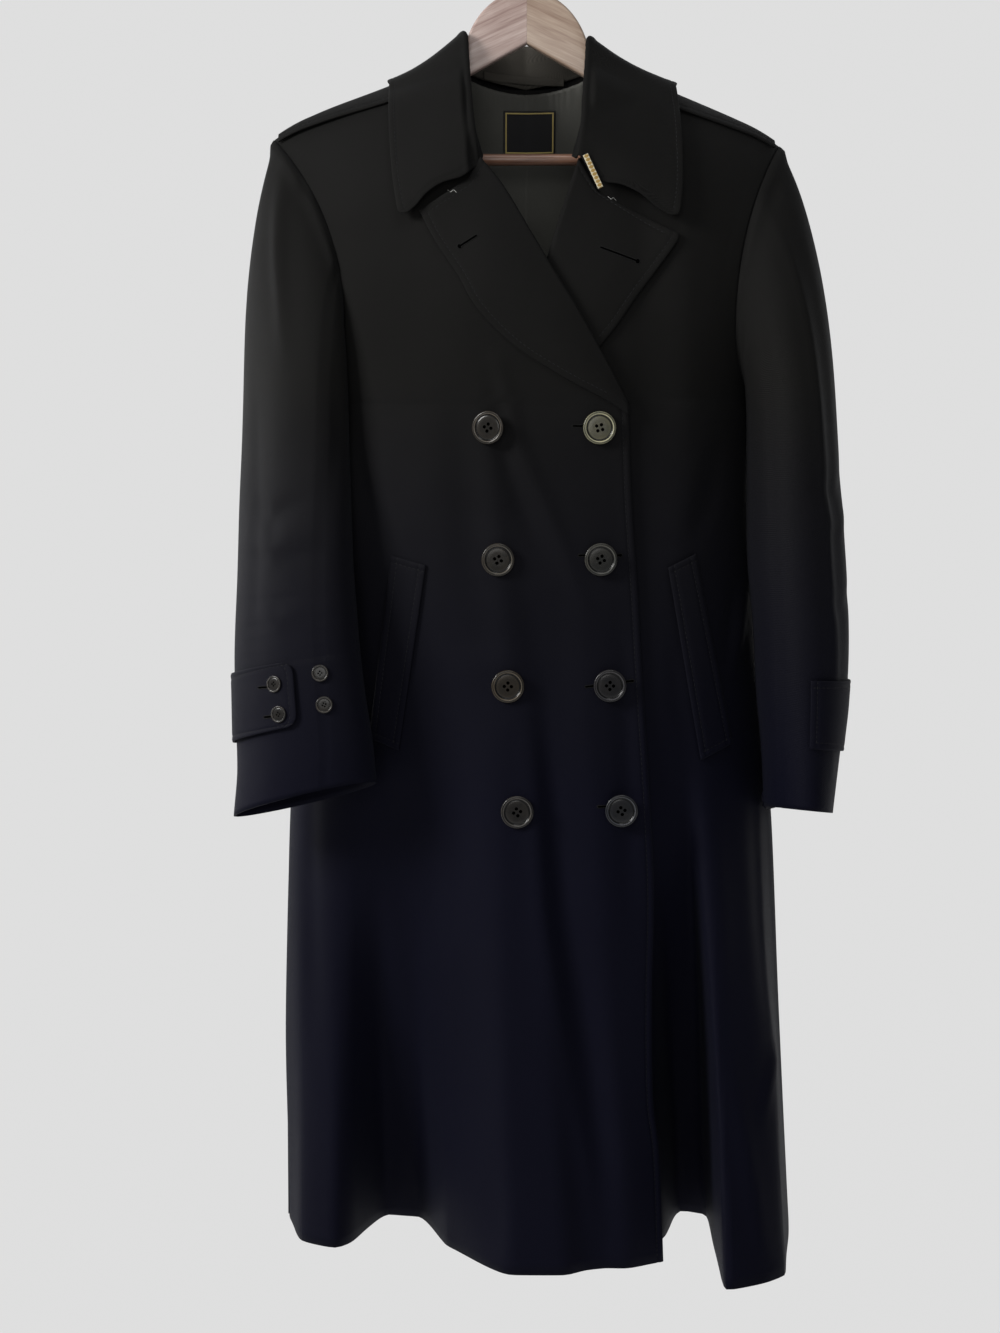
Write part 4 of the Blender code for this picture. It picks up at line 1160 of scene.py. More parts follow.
def puffed(net, left=False, right=False, top=False, low=False, amount=1.0):
    """Raises the cloth between an edge and its stitching, and sinks it along the stitches."""
    across = runs_along(net, 1)
    down = runs_along(net, 0)
    reach = RIM + (RIM_END,)
    rise = RIM_RISE + (0.0,)
    total = np.zeros(net.shape[:2])
    sides = ((left, across), (right, across[:, -1:] - across), (top, down), (low, down[-1:] - down))
    for wanted, distance in sides:
        if wanted:
            total += np.interp(distance, reach, rise)
    return net + net_normals(net) * (total * amount)[..., None]


# Creases: listed lines where the cloth stands up or sinks
CREASE_COLUMNS = ("name", "line", "width", "height")
RIGHT_FRONT_CREASES = (
    ("chest ridge", ((-38, -430), (-31, -506), (-24, -575), (-17, -650), (-15, -720)), 13.0, 3.2),
    ("beside the chest ridge", ((-62, -440), (-54, -540), (-46, -640)), 16.0, -2.2),
    ("edge beneath", ((-26, -404), (-7, -481), (28, -558), (52, -620)), 7.0, 2.8),
    ("below the edge beneath", ((-34, -420), (-16, -500), (16, -580)), 7.0, -2.4),
    (
        "upper slanting trough",
        ((15, -688), (22, -775), (29, -872), (47, -979), (65, -1078), (78, -1150)),
        11.0,
        -5.5,
    ),
    ("light ridge", ((2, -700), (8, -780), (14, -880), (30, -985), (47, -1085), (58, -1150)), 9.0, 2.6),
    ("edge swell", ((101, -640), (104, -740), (104, -850)), 9.0, 2.4),
    ("edge hollow", ((84, -620), (88, -760), (88, -900)), 12.0, -2.6),
    ("under the arm", ((-150, -455), (-138, -520), (-120, -560)), 10.0, -3.0),
    ("beside the arm", ((-168, -470), (-158, -540), (-146, -610)), 12.0, 3.0),
    ("side fall", ((-196, -700), (-194, -860), (-190, -1010)), 9.0, -3.0),
    ("pocket fall", ((-118, -760), (-112, -860), (-100, -960)), 14.0, -3.0),
    ("waist drag", ((-70, -520), (-30, -540), (10, -535)), 12.0, -1.2),
    ("lower drag", ((-95, -650), (-50, -668), (-5, -660)), 14.0, 1.2),
    ("hem ripple", ((-60, -1080), (-58, -1190)), 14.0, 3.0),
    ("hem hollow", ((-30, -1090), (-26, -1190)), 12.0, -3.0),
)
LEFT_FRONT_CREASES = (
    ("under the arm", ((170, -470), (160, -520), (142, -560)), 10.0, -3.0),
    ("pinch", ((196, -590), (190, -640), (183, -672)), 5.0, 3.4),
    ("beside the pinch", ((186, -590), (180, -636), (174, -668)), 5.0, -2.4),
    ("side fall", ((204, -760), (210, -900), (216, -1000)), 9.0, -3.5),
    ("low crease", ((222, -1000), (214, -1030), (205, -1065)), 4.5, 2.4),
    ("hem crease", ((190, -1170), (204, -1183), (216, -1190)), 5.0, -2.0),
    ("crest line", ((176, -1000), (192, -1100), (205, -1190)), 8.0, 2.6),
    ("pocket drag", ((128, -600), (134, -690), (142, -760)), 12.0, -2.6),
    ("below the pocket", ((160, -780), (168, -880), (172, -980)), 12.0, 3.0),
    ("chest fall", ((120, -330), (118, -420), (112, -520)), 22.0, -2.0),
)
BACK_CREASES = (
    ("right blade", ((-120, -230), (-112, -330), (-96, -430), (-84, -540)), 18.0, 2.6),
    ("left blade", ((124, -240), (112, -340), (98, -450), (88, -560)), 18.0, 2.6),
    ("right waist", ((-150, -470), (-128, -540), (-96, -580)), 11.0, -2.8),
    ("left waist", ((156, -470), (130, -548), (98, -590)), 11.0, -2.8),
    ("neck drag", ((-40, -190), (0, -205), (42, -192)), 12.0, -1.2),
    ("right fall", ((-150, -760), (-144, -960), (-140, -1190)), 15.0, -4.0),
    ("left fall", ((150, -800), (152, -1000), (156, -1190)), 15.0, -4.0),
    ("low ridge", ((40, -860), (48, -1040), (54, -1190)), 16.0, 4.5),
    ("low trough", ((-66, -900), (-62, -1050), (-60, -1190)), 13.0, -4.0),
)


def crease_rise(table, across, up):
    """How far the creases lift the cloth at places given by two coordinates."""
    total = np.zeros(across.shape)
    for crease in rows_of(CREASE_COLUMNS, table):
        line = np.array(crease["line"], float)
        steps = np.linalg.norm(np.diff(line, axis=0), axis=1)
        run = np.concatenate([[0.0], np.cumsum(steps)])
        best = np.full(across.shape, 1e9)
        share = np.zeros(across.shape)
        for k in range(len(line) - 1):
            way = (line[k + 1] - line[k]) / steps[k]
            away_a = across - line[k][0]
            away_b = up - line[k][1]
            along = np.clip(away_a * way[0] + away_b * way[1], 0.0, steps[k])
            gap = np.hypot(away_a - along * way[0], away_b - along * way[1])
            closer = gap < best
            best = np.where(closer, gap, best)
            share = np.where(closer, (run[k] + along) / run[-1], share)
        taper = np.sin(np.pi * np.clip(share, 0.04, 0.96)) ** 0.7
        total += crease["height"] * np.exp(-((best / crease["width"]) ** 2)) * taper
    return total


def unevenness(net, size, amount, seed):
    """Slow hand-made unevenness of hanging cloth."""
    rise = np.zeros(net.shape[:2])
    for j in range(net.shape[0]):
        for i in range(net.shape[1]):
            place = Vector(net[j, i]) / size
            place.z *= 0.45
            rise[j, i] = noise.noise(place + Vector((seed * 7.3, seed * 3.1, seed * 5.7)))
    return rise * amount


def raised(net, rise, wrapped=False):
    return net + net_normals(net, wrapped) * rise[..., None]


# Body panels
def panel_net(surface, outer, inner, tops, rows, columns, stitched):
    """Rows of points over a panel, from its shoulder to the hem and from side to edge."""
    upper = rows * 5 // 11
    net = []
    for j in range(rows + 1):
        if j <= upper:
            share = (j / upper) ** 1.25
            outer_z = mix(tops[0], UNDERARM_Z, share)
            inner_z = mix(tops[1], UNDERARM_Z - 4.0 * share, share)
        else:
            share = (j - upper) / (rows - upper)
            outer_z = mix(UNDERARM_Z, HEM_Z, share)
            inner_z = mix(UNDERARM_Z - 4.0, HEM_Z, share)
        outer_x = outer(outer_z)
        inner_x = inner(inner_z)
        line = []
        for k in range(121):
            across = 1.0 - math.cos(math.pi / 2 * k / 120)
            line.append(surface(mix(outer_x, inner_x, across), mix(outer_z, inner_z, across)))
        net.append(relaid(line, columns, False, stitched))
    return np.array(net)


def fade_at_edges(net, reach, sides=(True, True, True, True)):
    """1 inside the panel, falling to 0 within reach of the named edges: left, right, top, low."""
    across = runs_along(net, 1)
    down = runs_along(net, 0)
    fade = np.ones(net.shape[:2])
    distances = (across, across[:, -1:] - across, down, down[-1:] - down)
    for wanted, distance in zip(sides, distances):
        if wanted:
            fade *= np.clip(distance / reach, 0.0, 1.0)
    return fade


PANEL_ROWS = 150
PANEL_COLUMNS = 96
HALF_BACK_COLUMNS = 60
FIRST_STITCHED_ROW = 40


def front_net(side, surface, inner, stitched):
    tops = (ridge_z(side * SHOULDER_TIP_X), ridge_z(side * NECK_POINT_X))
    outer = side_line(side, FRONT_ARMHOLE_X[side])
    return panel_net(surface, outer, inner, tops, PANEL_ROWS, PANEL_COLUMNS, stitched)


def creased(net, table, size, amount, seed, faded):
    """The panel with its creases and unevenness, which fade out at the edges that are held."""
    rise = crease_rise(table, net[..., 0], net[..., 2]) + unevenness(net, size, amount, seed)
    return raised(net, rise * fade_at_edges(net, 14.0, faded))


def make_fronts():
    net = front_net(-1, right_front_at, right_inner_line, True)
    net = turned(net, facing(-20, -100, -700, 0, -1, 0))
    net = creased(net, RIGHT_FRONT_CREASES, 75.0, 2.2, 1, (True, False, True, False))
    flipped = net[0, 0, 0] > net[0, -1, 0]
    net = puffed(net, left=flipped, right=not flipped)
    right = dress(cloth_object("right_front_cloth", net, gabardine()), ["right_front"])
    edge = net[FIRST_STITCHED_ROW:, STITCH_STEP if flipped else -1 - STITCH_STEP]
    declare_sheet(right, net, [stitching("front_edge_stitching", [edge])])

    net = front_net(1, left_front_at, left_inner_line, False)
    net = turned(net, facing(60, -95, -700, 0, -1, 0))
    net = creased(net, LEFT_FRONT_CREASES, 75.0, 2.0, 2, (True, True, True, False))
    make_sheet("left_front", net, ["left_front"])


def back_top_row(side):
    """The back's top edge: the shoulder seam in to the neck point, then the neckline."""
    line = []
    for k in range(121):
        x = mix(SHOULDER_TIP_X, 0.0, k / 120)
        if x > NECK_POINT_X:
            line.append(back_at(side * x, ridge_z(side * x) - 0.01))
        else:
            line.append(neck_back_at(side * x, back_neck_z(side * x)))
    return line


def make_back():
    halves = []
    for side in (-1, 1):
        net = panel_net(
            back_at,
            side_line(side, BACK_ARMHOLE_X[side]),
            lambda z: 0.0,
            (ridge_z(side * SHOULDER_TIP_X), back_neck_z(0.0)),
            PANEL_ROWS,
            HALF_BACK_COLUMNS,
            False,
        )
        net[0] = relaid(back_top_row(side), HALF_BACK_COLUMNS)
        for j in range(1, 7):
            net[j] = mix(net[j], net[0] + (net[7] - net[0]) * j / 7, 0.6 * (1.0 - j / 7))
        halves.append(net)
    net = np.concatenate([halves[0], halves[1][:, ::-1][:, 1:]], axis=1)
    net = turned(net, facing(0, 60, -700, 0, 1, 0))
    rise = crease_rise(BACK_CREASES, net[..., 0], net[..., 2]) + unevenness(net, 80.0, 2.4, 3)
    rise -= 1.1 * np.exp(-((net[..., 0] / 1.6) ** 2)) * (net[..., 2] < -190.0)
    net = raised(net, rise * fade_at_edges(net, 14.0, (True, True, True, False)))
    make_sheet("back", net, ["back"])


# Sleeves. Creases are placed by millimetres round the tube, from its outer line, and height.
MM_PER_DEGREE = 0.9
RIGHT_SLEEVE_CREASES = (
    ("lit ridge", ((36, -236), (52, -312), (62, -352), (70, -392)), 8.0, 3.6),
    ("head pucker", ((52, -232), (66, -262)), 4.0, -2.8),
    ("beside the head pucker", ((64, -236), (80, -268)), 5.0, 2.0),
    ("second pucker", ((80, -262), (94, -296)), 4.0, -2.6),
    ("elbow drag", ((20, -520), (60, -540), (100, -520)), 10.0, -2.0),
    ("elbow ridge", ((20, -548), (62, -566), (104, -548)), 10.0, 1.8),
    ("inner fall", ((112, -380), (118, -470), (110, -560)), 8.0, -2.4),
    ("long fall", ((28, -420), (34, -560), (30, -650)), 12.0, -1.8),
    ("low drag", ((30, -610), (66, -626), (98, -612)), 9.0, 1.4),
)
LEFT_SLEEVE_CREASES = (
    ("front crease", ((66, -260), (64, -430), (60, -560), (58, -650), (58, -760)), 5.0, 2.4),
    ("behind the crease", ((50, -280), (50, -440), (46, -570), (44, -680)), 9.0, -1.8),
    ("head pucker", ((44, -244), (60, -262)), 5.0, -1.8),
    ("elbow drag", ((10, -500), (40, -520), (80, -506)), 10.0, -2.0),
    ("elbow ridge", ((8, -530), (40, -548), (84, -534)), 10.0, 1.8),
    ("low drag", ((0, -600), (40, -620), (80, -604)), 9.0, -1.4),
    ("outer fall", ((-30, -300), (-34, -460), (-30, -600)), 13.0, 2.2),
)
SLEEVE_ROUND = 92
CAP_STEPS = 34
ARM_STEPS = 72
MIDDLE_ROW = 70
FRONT_SEAM = 118.0
BACK_SEAM = 298.0
SEAM_SINK = 0.9
HEAD_SWELL = 2.2
TUCK = 4.0


def sleeve_net(side):
    """Rings from the armhole to the cuff, below one that is tucked inside the body."""
    downs = [0.0, 0.01, 0.03, 0.06] + [0.1 + 0.9 * (k / CAP_STEPS) for k in range(CAP_STEPS + 1)]
    downs += [1.0 + k / ARM_STEPS for k in range(1, ARM_STEPS + 1)]
    angles = [math.tau * (k % SLEEVE_ROUND) / SLEEVE_ROUND for k in range(SLEEVE_ROUND + 1)]
    net = eased_cap(np.array([[sleeve_at(side, down, angle) for angle in angles] for down in downs]))
    tucked = net[0] - np.array([side * TUCK, 0.0, 0.5 * TUCK])
    tucked[:, 1] -= np.sign(tucked[:, 1]) * np.minimum(TUCK, np.abs(tucked[:, 1]))
    return np.concatenate([tucked[None], net])


def eased_cap(net):
    """Evens the sleeve's head and underarm, with the armhole and the lower sleeve held."""
    hold = np.array([ease(j / 5.0) * ease((62.0 - j) / 22.0) for j in range(net.shape[0])])
    ring = net[:, :-1]
    for _ in range(26):
        around = (np.roll(ring, 1, axis=1) + np.roll(ring, -1, axis=1)) / 2
        beside = ring.copy()
        beside[1:-1] = (ring[:-2] + ring[2:]) / 2
        target = (around + beside) / 2
        ring = ring + (target - ring) * 0.5 * hold[:, None, None]
    return np.concatenate([ring, ring[:, :1]], axis=1)


def sleeve_coordinates(net):
    degrees = np.linspace(0.0, 360.0, net.shape[1])
    degrees = np.where(degrees > 180.0, degrees - 360.0, degrees)
    round_mm = np.broadcast_to(degrees * MM_PER_DEGREE, net.shape[:2])
    return round_mm, net[..., 2]


def make_sleeves():
    for (side, word), table in zip(SIDES, (RIGHT_SLEEVE_CREASES, LEFT_SLEEVE_CREASES)):
        net = sleeve_net(side)
        round_mm, heights = sleeve_coordinates(net)
        run = runs_along(net, 0)
        run = run - run[1:2]
        rise = crease_rise(table, round_mm, heights) + unevenness(net, 60.0, 1.7, 4 + side)
        for seam in (FRONT_SEAM, BACK_SEAM - 360.0):
            rise -= SEAM_SINK * np.exp(-(((round_mm - seam * MM_PER_DEGREE) / 1.8) ** 2))
        over_the_seam = np.cos(np.radians(round_mm / MM_PER_DEGREE)) > -0.4
        rise += HEAD_SWELL * np.exp(-((run / 9.0 - 0.6) ** 2)) * over_the_seam
        rise[:, -1] = rise[:, 0]
        from_middle = net[MIDDLE_ROW, 0] - net[MIDDLE_ROW].mean(axis=0)
        if net_normals(net, True)[MIDDLE_ROW, 0] @ from_middle <= 0:
            net = net[:, ::-1]
            rise = rise[:, ::-1]
        net = raised(net, rise * np.clip(run / 5.0, 0.0, 1.0), True)
        nodes = [f"{word}_top_sleeve", f"{word}_under_sleeve"]
        make_sheet(f"{word}_sleeve", net, nodes, wrapped=True)


# Stitching
def stitching(name, lines, length=2.9, gap=1.3, radius=0.32):
    """A row of short raised stitches along each line, sunk a little into the cloth."""
    bm = bmesh.new()
    for line in lines:
        line = np.array(line, float)
        run = run_of(line)
        for k in range(int((run[-1] - 1.0) / (length + gap))):
            start = 0.5 + k * (length + gap)
            ends = []
            for at in (start, start + length):
                ends.append(Vector([np.interp(at, run, line[:, c]) for c in range(3)]))
            centre = (ends[0] + ends[1]) / 2 * MM
            turn = turn_to((ends[1] - ends[0]).normalized())
            shape = Matrix.Diagonal((radius * MM, radius * MM, length / 2 * MM, 1.0))
            place = Matrix.Translation(centre) @ turn @ shape
            bmesh.ops.create_icosphere(bm, subdivisions=1, radius=1.0, matrix=place)
    return dress(mesh_object(name, bm, thread()), [])


# Collar. The stand's inside, seen in the neck opening, gets a copy of the cloth painted about eight
# times paler: painted light where the hanger shades it.
COLLAR_LINES = 170
STAND_FRONT_Y = -4.0
STAND_LOW_Z = -162.0
STAND_HALF_WIDTH = 64.0
STAND_FACING = -0.25


def collar_net():
    net = np.array([dense(collar_row(2.0 * k / COLLAR_LINES), 90) for k in range(COLLAR_LINES + 1)])
    return relaid_net(net, 168, 46, right=True, top=True, low=True)


def turned_with_rim(net, outward):
    """The net facing outward, and whether its stitched rim is still its last column."""
    corner = net[0, 0].copy()
    net = turned(net, outward)
    return net, np.allclose(net[0, 0], corner)


def make_collar():
    net, kept = turned_with_rim(collar_net(), facing(0, 60, -170, 0, 1, 0))
    net = raised(net, unevenness(net, 45.0, 1.0, 8))
    net = puffed(net, left=not kept, right=kept, top=True, low=True, amount=SOFT_PUFF)
    fall = net[STITCH_STEP:-STITCH_STEP, -1 - STITCH_STEP if kept else STITCH_STEP]
    made = make_sheet("collar", net, ["collar"], 1.8, [fall])
    # Forward-facing faces of the stand's inside take the paler cloth, painted light.
    made.data.materials.append(stand_cloth_painted_lit())
    for face in made.data.polygons:
        x, y, z = face.center / MM
        inside = y > STAND_FRONT_Y and z > STAND_LOW_Z and abs(x) < STAND_HALF_WIDTH
        if inside and face.normal.y < STAND_FACING:
            face.material_index = 1


# Lapels
LAPEL_LIFT = {-1: 2.5, 1: 3.0}
LAPEL_SWELL = {-1: 3.0, 1: 1.2}


def lapel_point(side, table, surface, at, t):
    places = list(range(len(table)))
    roll_x, roll_z, edge_x, edge_z = [through(places, column, at) for column in zip(*table)]
    x = mix(roll_x, edge_x, t)
    z = mix(roll_z, edge_z, t)
    z -= LAPEL_DIPS[side] * min(t / 0.18, (1.0 - t) / 0.82) * max(0.0, 1.0 - at / 0.8)
    swell = LAPEL_SWELL[side] * math.sin(math.pi * t) * math.sin(math.pi * clamp(at / 7.0, 0.08, 0.92))
    return surface(x, z) - np.array([0.0, LAPEL_LIFT[side] + swell, 0.0])


def lapel_net(side, table, surface):
    net = []
    for j in range(101):
        at = 7.0 * j / 100
        line = [lapel_point(side, table, surface, at, k / 50) for k in range(51)]
        inward = line[0] - line[3]
        inward[1] = 0.0
        inward /= max(np.linalg.norm(inward), 1e-6)
        radius = LAPEL_LIFT[side] / 2 + 1.0
        roll = []
        for k in range(7):
            angle = math.pi * k / 7
            back = np.array([0.0, radius + radius * math.cos(angle), 0.0])
            roll.append(line[0] + inward * radius * math.sin(angle) + back)
        net.append(roll + line)
    return np.array(net)


LAPEL_LAST_STITCHED_ROW = 94


def make_lapels():
    sides = (
        (-1, "right", RIGHT_LAPEL_ROWS, right_front_at, facing(0, -95, -360, 0, -1, 0)),
        (1, "left", LEFT_LAPEL_ROWS, left_front_at, facing(60, -95, -320, 0, -1, 0)),
    )
    for side, word, table, surface, out in sides:
        net = relaid_net(lapel_net(side, table, surface), 100, 58, right=True, top=True)
        net, kept = turned_with_rim(net, out)
        net = raised(net, unevenness(net, 40.0, 0.7, 9 + side))
        net = puffed(net, left=not kept, right=kept, top=True, amount=SOFT_PUFF)
        rim = -1 - STITCH_STEP if kept else STITCH_STEP
        lines = [net[STITCH_STEP:LAPEL_LAST_STITCHED_ROW, rim], net[STITCH_STEP, 8:-STITCH_STEP]]
        name = f"{word}_lapel"
        make_sheet(name, net, [name], stitched=lines)


# Shoulder straps, pocket welts and cuff tabs
STRAP_HALF_WIDTHS = (21.0, 8.0)


def strap_point(side, down, across):
    """A point of a strap, from its inner end out and from its front edge over to its back."""
    x = side * mix(EPAULETTE_INNER_X, EPAULETTE_OUTER_X, down)
    w = mix(-1.0, 1.0, across)
    z = ridge_z(x) - mix(*STRAP_HALF_WIDTHS, down) * abs(w) ** 1.7 - 0.02
    out = np.array([0.0, 2.6 * abs(w) ** 0.5, 0.0])
    point = front_at(x, z, side) - out if w < 0 else back_at(x, z) + out
    point[2] += STRAP_LIFT
    return point


def make_epaulettes():
    for side, word in SIDES:
        net = grid_of(60, 60, lambda down, across: strap_point(side, down, across))
        net = relaid_net(net, 60, 44, left=True, right=True)
        net = turned(net, facing(side * 160, 0, -180, 0, 0, 1))
        net = puffed(net, left=True, right=True, amount=SOFT_PUFF)
        lines = [net[:, STITCH_STEP], net[:, -1 - STITCH_STEP]]
        nodes = [f"{word}_epaulette"]
        make_sheet(f"{word}_strap", net, nodes, stitched=lines)


def rimmed_sheet(name, net, outward, shape, nodes, thickness=1.6):
    """A piece that is stitched all round."""
    net = turned(relaid_net(net, *shape, True, True, True, True), outward)
    net = puffed(net, True, True, True, True, amount=FLAT_PUFF)
    lines = [net[:, STITCH_STEP], net[:, -1 - STITCH_STEP], net[STITCH_STEP], net[-1 - STITCH_STEP]]
    make_sheet(name, net, nodes, thickness, lines)


def welt_point(side, down, across):
    outer_top, inner_top, outer_low, inner_low = WELTS[side]
    x = mix(mix(outer_top[0], outer_low[0], down), mix(inner_top[0], inner_low[0], down), across)
    z = mix(mix(outer_top[1], outer_low[1], down), mix(inner_top[1], inner_low[1], down), across)
    return front_at(x, z, side) - np.array([0.0, WELT_LIFT[side] + 0.6, 0.0])


def make_welts():
    for side, word in SIDES:
        net = grid_of(60, 24, lambda down, across: welt_point(side, down, across))
        nodes = [f"{word}_pocket_welt"]
        out = facing(side * 120, -80, -660, 0, -1, 0)
        rimmed_sheet(f"{word}_welt", net, out, (62, 26), nodes, 1.8)


TAB_CORNER = 11.0
TAB_LIFT = 3.4


def tab_point(side, down, across):
    """A point of a cuff tab, whose far end has rounded corners."""
    tab = TABS[side]
    from_corner = min(down, 1.0 - down) * (tab["top"] - tab["low"])
    left_over = max(0.0, TAB_CORNER - from_corner)
    point_in = (TAB_CORNER - math.sqrt(TAB_CORNER**2 - left_over**2)) / MM_PER_DEGREE
    last = tab["last"] - (point_in if side < 0 else 0.0)
    first = tab["first"] + (point_in if side > 0 else 0.0)
    angle = math.radians(mix(first, last, across))
    z = mix(tab["top"], tab["low"], down)
    return ring_at(side, z, angle) + sleeve_normal(side, z, angle) * TAB_LIFT


def make_tabs():
    for side, word in SIDES:
        net = grid_of(30, 90, lambda down, across: tab_point(side, down, across))
        nodes = [f"{word}_cuff_tab"]
        out = facing(side * 255, -80, -700, side, 0, 0)
        rimmed_sheet(f"{word}_tab", net, out, (36, 96), nodes)


# Buttons: a turned body whose dished face has four holes. Sizes are in the button's radii.
BUTTON_RIM = (
    (0.0, 0.0), (0.8, 0.0), (0.93, 0.05), (1.0, 0.14), (0.99, 0.2), (0.95, 0.24), (0.89, 0.25),
    (0.83, 0.235), (0.79, 0.2), (0.765, 0.165), (0.74, 0.155), (0.71, 0.16), (0.68, 0.175),
    (0.65, 0.18), (0.4, 0.18),
)
DISH_HEIGHT = 0.18
HOLE_RADIUS = 0.105
HOLE_PLACE = 0.15
HOLE_DEPTH = 0.1


def make_button(name, centre, normal, radius, sides, spin):
    bm = bmesh.new()
    points = [bm.verts.new((r, 0.0, h)) for r, h in BUTTON_RIM]
    edges = [bm.edges.new(pair) for pair in zip(points, points[1:])]
    bmesh.ops.spin(
        bm, geom=points + edges, axis=(0, 0, 1), cent=(0, 0, 0), angle=math.tau, steps=sides,
        use_merge=True,
    )
    bmesh.ops.remove_doubles(bm, verts=bm.verts, dist=1e-4)
    loops = [edge for edge in bm.edges if edge.is_boundary]
    holes = []
    for a in (-1, 1):
        for b in (-1, 1):
            place = Matrix.Translation((a * HOLE_PLACE, b * HOLE_PLACE, DISH_HEIGHT))
            ring = bmesh.ops.create_circle(
                bm, cap_ends=False, segments=12, radius=HOLE_RADIUS, matrix=place
            )
            holes.append(list({edge for vert in ring["verts"] for edge in vert.link_edges}))
    rims = loops + [edge for ring in holes for edge in ring]
    bmesh.ops.triangle_fill(bm, use_beauty=True, use_dissolve=False, edges=rims)
    for ring in holes:
        grown = bmesh.ops.extrude_edge_only(bm, edges=ring)
        low = parts_of(grown, bmesh.types.BMVert)
        bmesh.ops.translate(bm, vec=(0.0, 0.0, -HOLE_DEPTH), verts=low)
        low_edges = [edge for edge in parts_of(grown, bmesh.types.BMEdge) if edge.is_boundary]
        floor = bmesh.ops.contextual_create(bm, geom=low_edges)["faces"]
        # The holes' walls and floors take the near-black second slot, painted shadow.
        for face in floor + parts_of(grown, bmesh.types.BMFace):
            face.material_index = 1
    bmesh.ops.recalc_face_normals(bm, faces=bm.faces)
    layer = bm.loops.layers.uv.new("UVMap")
    for face in bm.faces:
        for loop in face.loops:
            loop[layer].uv = loop.vert.co.xy
    turn = turn_to(Vector(normal).normalized()) @ Matrix.Rotation(spin, 4, "Z")
    place = Matrix.Translation(Vector(centre) * MM) @ turn @ Matrix.Scale(radius * MM, 4)
    bmesh.ops.transform(bm, matrix=place, verts=bm.verts)
    made = mesh_object(f"{name}_horn", bm, horn_of(name))
    made.data.materials.append(painted_shadow_black())
    made.data.set_sharp_from_angle(angle=math.radians(50))
    dress(made, [name])


def add_tube(bm, points, radius, sides):
    """A closed round thread through the points."""
    points = [Vector(point) for point in points]
    rings = []
    for k, point in enumerate(points):
        way = (points[min(k + 1, len(points) - 1)] - points[max(k - 1, 0)]).normalized()
        place = Matrix.Translation(point) @ turn_to(way)
        ring = bmesh.ops.create_circle(
            bm, cap_ends=False, segments=sides, radius=radius, matrix=place
        )
        rings.append(ring["verts"])
    for first, second in zip(rings, rings[1:]):
        edges = {e for v in first for e in v.link_edges if e.other_vert(v) in first}
        edges |= {e for v in second for e in v.link_edges if e.other_vert(v) in second}
        bmesh.ops.bridge_loops(bm, edges=list(edges))
    for ring in (rings[0], rings[-1]):
        bmesh.ops.contextual_create(bm, geom=list(ring))


SEAT_REACH = 30.0
SEAT_CLEARANCE = 0.15


def seated(centre, normal, radius, carriers):
    """The centre moved along its normal until the button's underside just clears the cloth."""
    trees = trees_of(carriers)
    way = Vector(normal).normalized()
    start = (Vector(centre) + way * SEAT_REACH) * MM
    across = way.orthogonal().normalized()
    least = 1.0
    for k in range(17):
        spoke = Matrix.Rotation(math.tau * k / 16, 3, way) @ across
        reach = 0.0 if k == 16 else 0.8
        for tree in trees:
            distance = tree.ray_cast(start + spoke * reach * radius * MM, -way, 0.08)[3]
            if distance is not None:
                least = min(least, distance)
    return Vector(centre) + way * (SEAT_REACH - least / MM + SEAT_CLEARANCE)


def make_buttons():
    for count, row in enumerate(rows_of(FRONT_BUTTON_COLUMNS, FRONT_BUTTONS), 1):
        for word, x in (("right", row["right_x"]), ("left", row["left_x"])):
            tip = row["tip"] if word == "right" else 0.0
            normal = np.array([-tip, -1.0, 0.0])
            centre = seated(right_front_at(x, row["z"]), normal, BIG_RADIUS, ["right_front_cloth"])
            make_button(f"front_button_{word}_{count}", centre, normal, BIG_RADIUS, 48, 0.25 * count)
    for side, word in SIDES:
        carriers = [f"{word}_tab_cloth", f"{word}_sleeve_cloth"]
        for count, (turn, z) in enumerate(CUFF_BUTTONS[side], 1):
            angle = math.radians(turn)
            normal = sleeve_normal(side, z, angle)
            centre = seated(ring_at(side, z, angle), normal, SMALL_RADIUS, carriers)
            make_button(f"cuff_button_{word}_{count}", centre, normal, SMALL_RADIUS, 32, 0.3 * count)


# Buttonholes: where each starts and ends on the front of the cloth, with the eye at its end
HOLE_COLUMNS = ("name", "cloth", "start", "end", "eye")
BUTTONHOLES = (
    ("right_lapel_hole", "right_lapel_cloth", (-43.5, -298.5), (-58.0, -307.5), 2.2),
    ("left_lapel_hole", "left_lapel_cloth", (62.5, -307.5), (94.5, -319.0), 2.3),
    ("front_hole_1", "right_front_cloth", (70.0, -460.5), (39.0, -460.5), 0.0),
    ("front_hole_2", "right_front_cloth", (44.0, -571.0), (80.0, -571.0), 1.6),
    ("front_hole_3", "right_front_cloth", (50.0, -684.0), (91.0, -679.5), 1.4),
    ("front_hole_4", "right_front_cloth", (94.0, -787.0), (61.0, -787.0), 0.0),
    ("cuff_hole_1", "right_tab_cloth", (-214.0, -680.5), (-229.0, -682.5), 0.0),
    ("cuff_hole_2", "right_tab_cloth", (-209.0, -704.5), (-223.5, -707.0), 0.0),
)
HOLE_HALF = 1.05
# The worked edge is a thread that stands out from the cloth; the slit is three sunk black ones, painted
# shadow.
EDGE_RADIUS = 0.3
EDGE_LIFT = 0.08
SLIT_RADIUS = 0.36
SLIT_LIFT = -0.2
SLIT_OFFSETS = (-0.55, 0.0, 0.55)
HOLE_STEPS = 26
EYE_STEPS = 12
EYE_TURN = 118.0
END_TURN = 90.0
EYE_DEPTH = 0.4


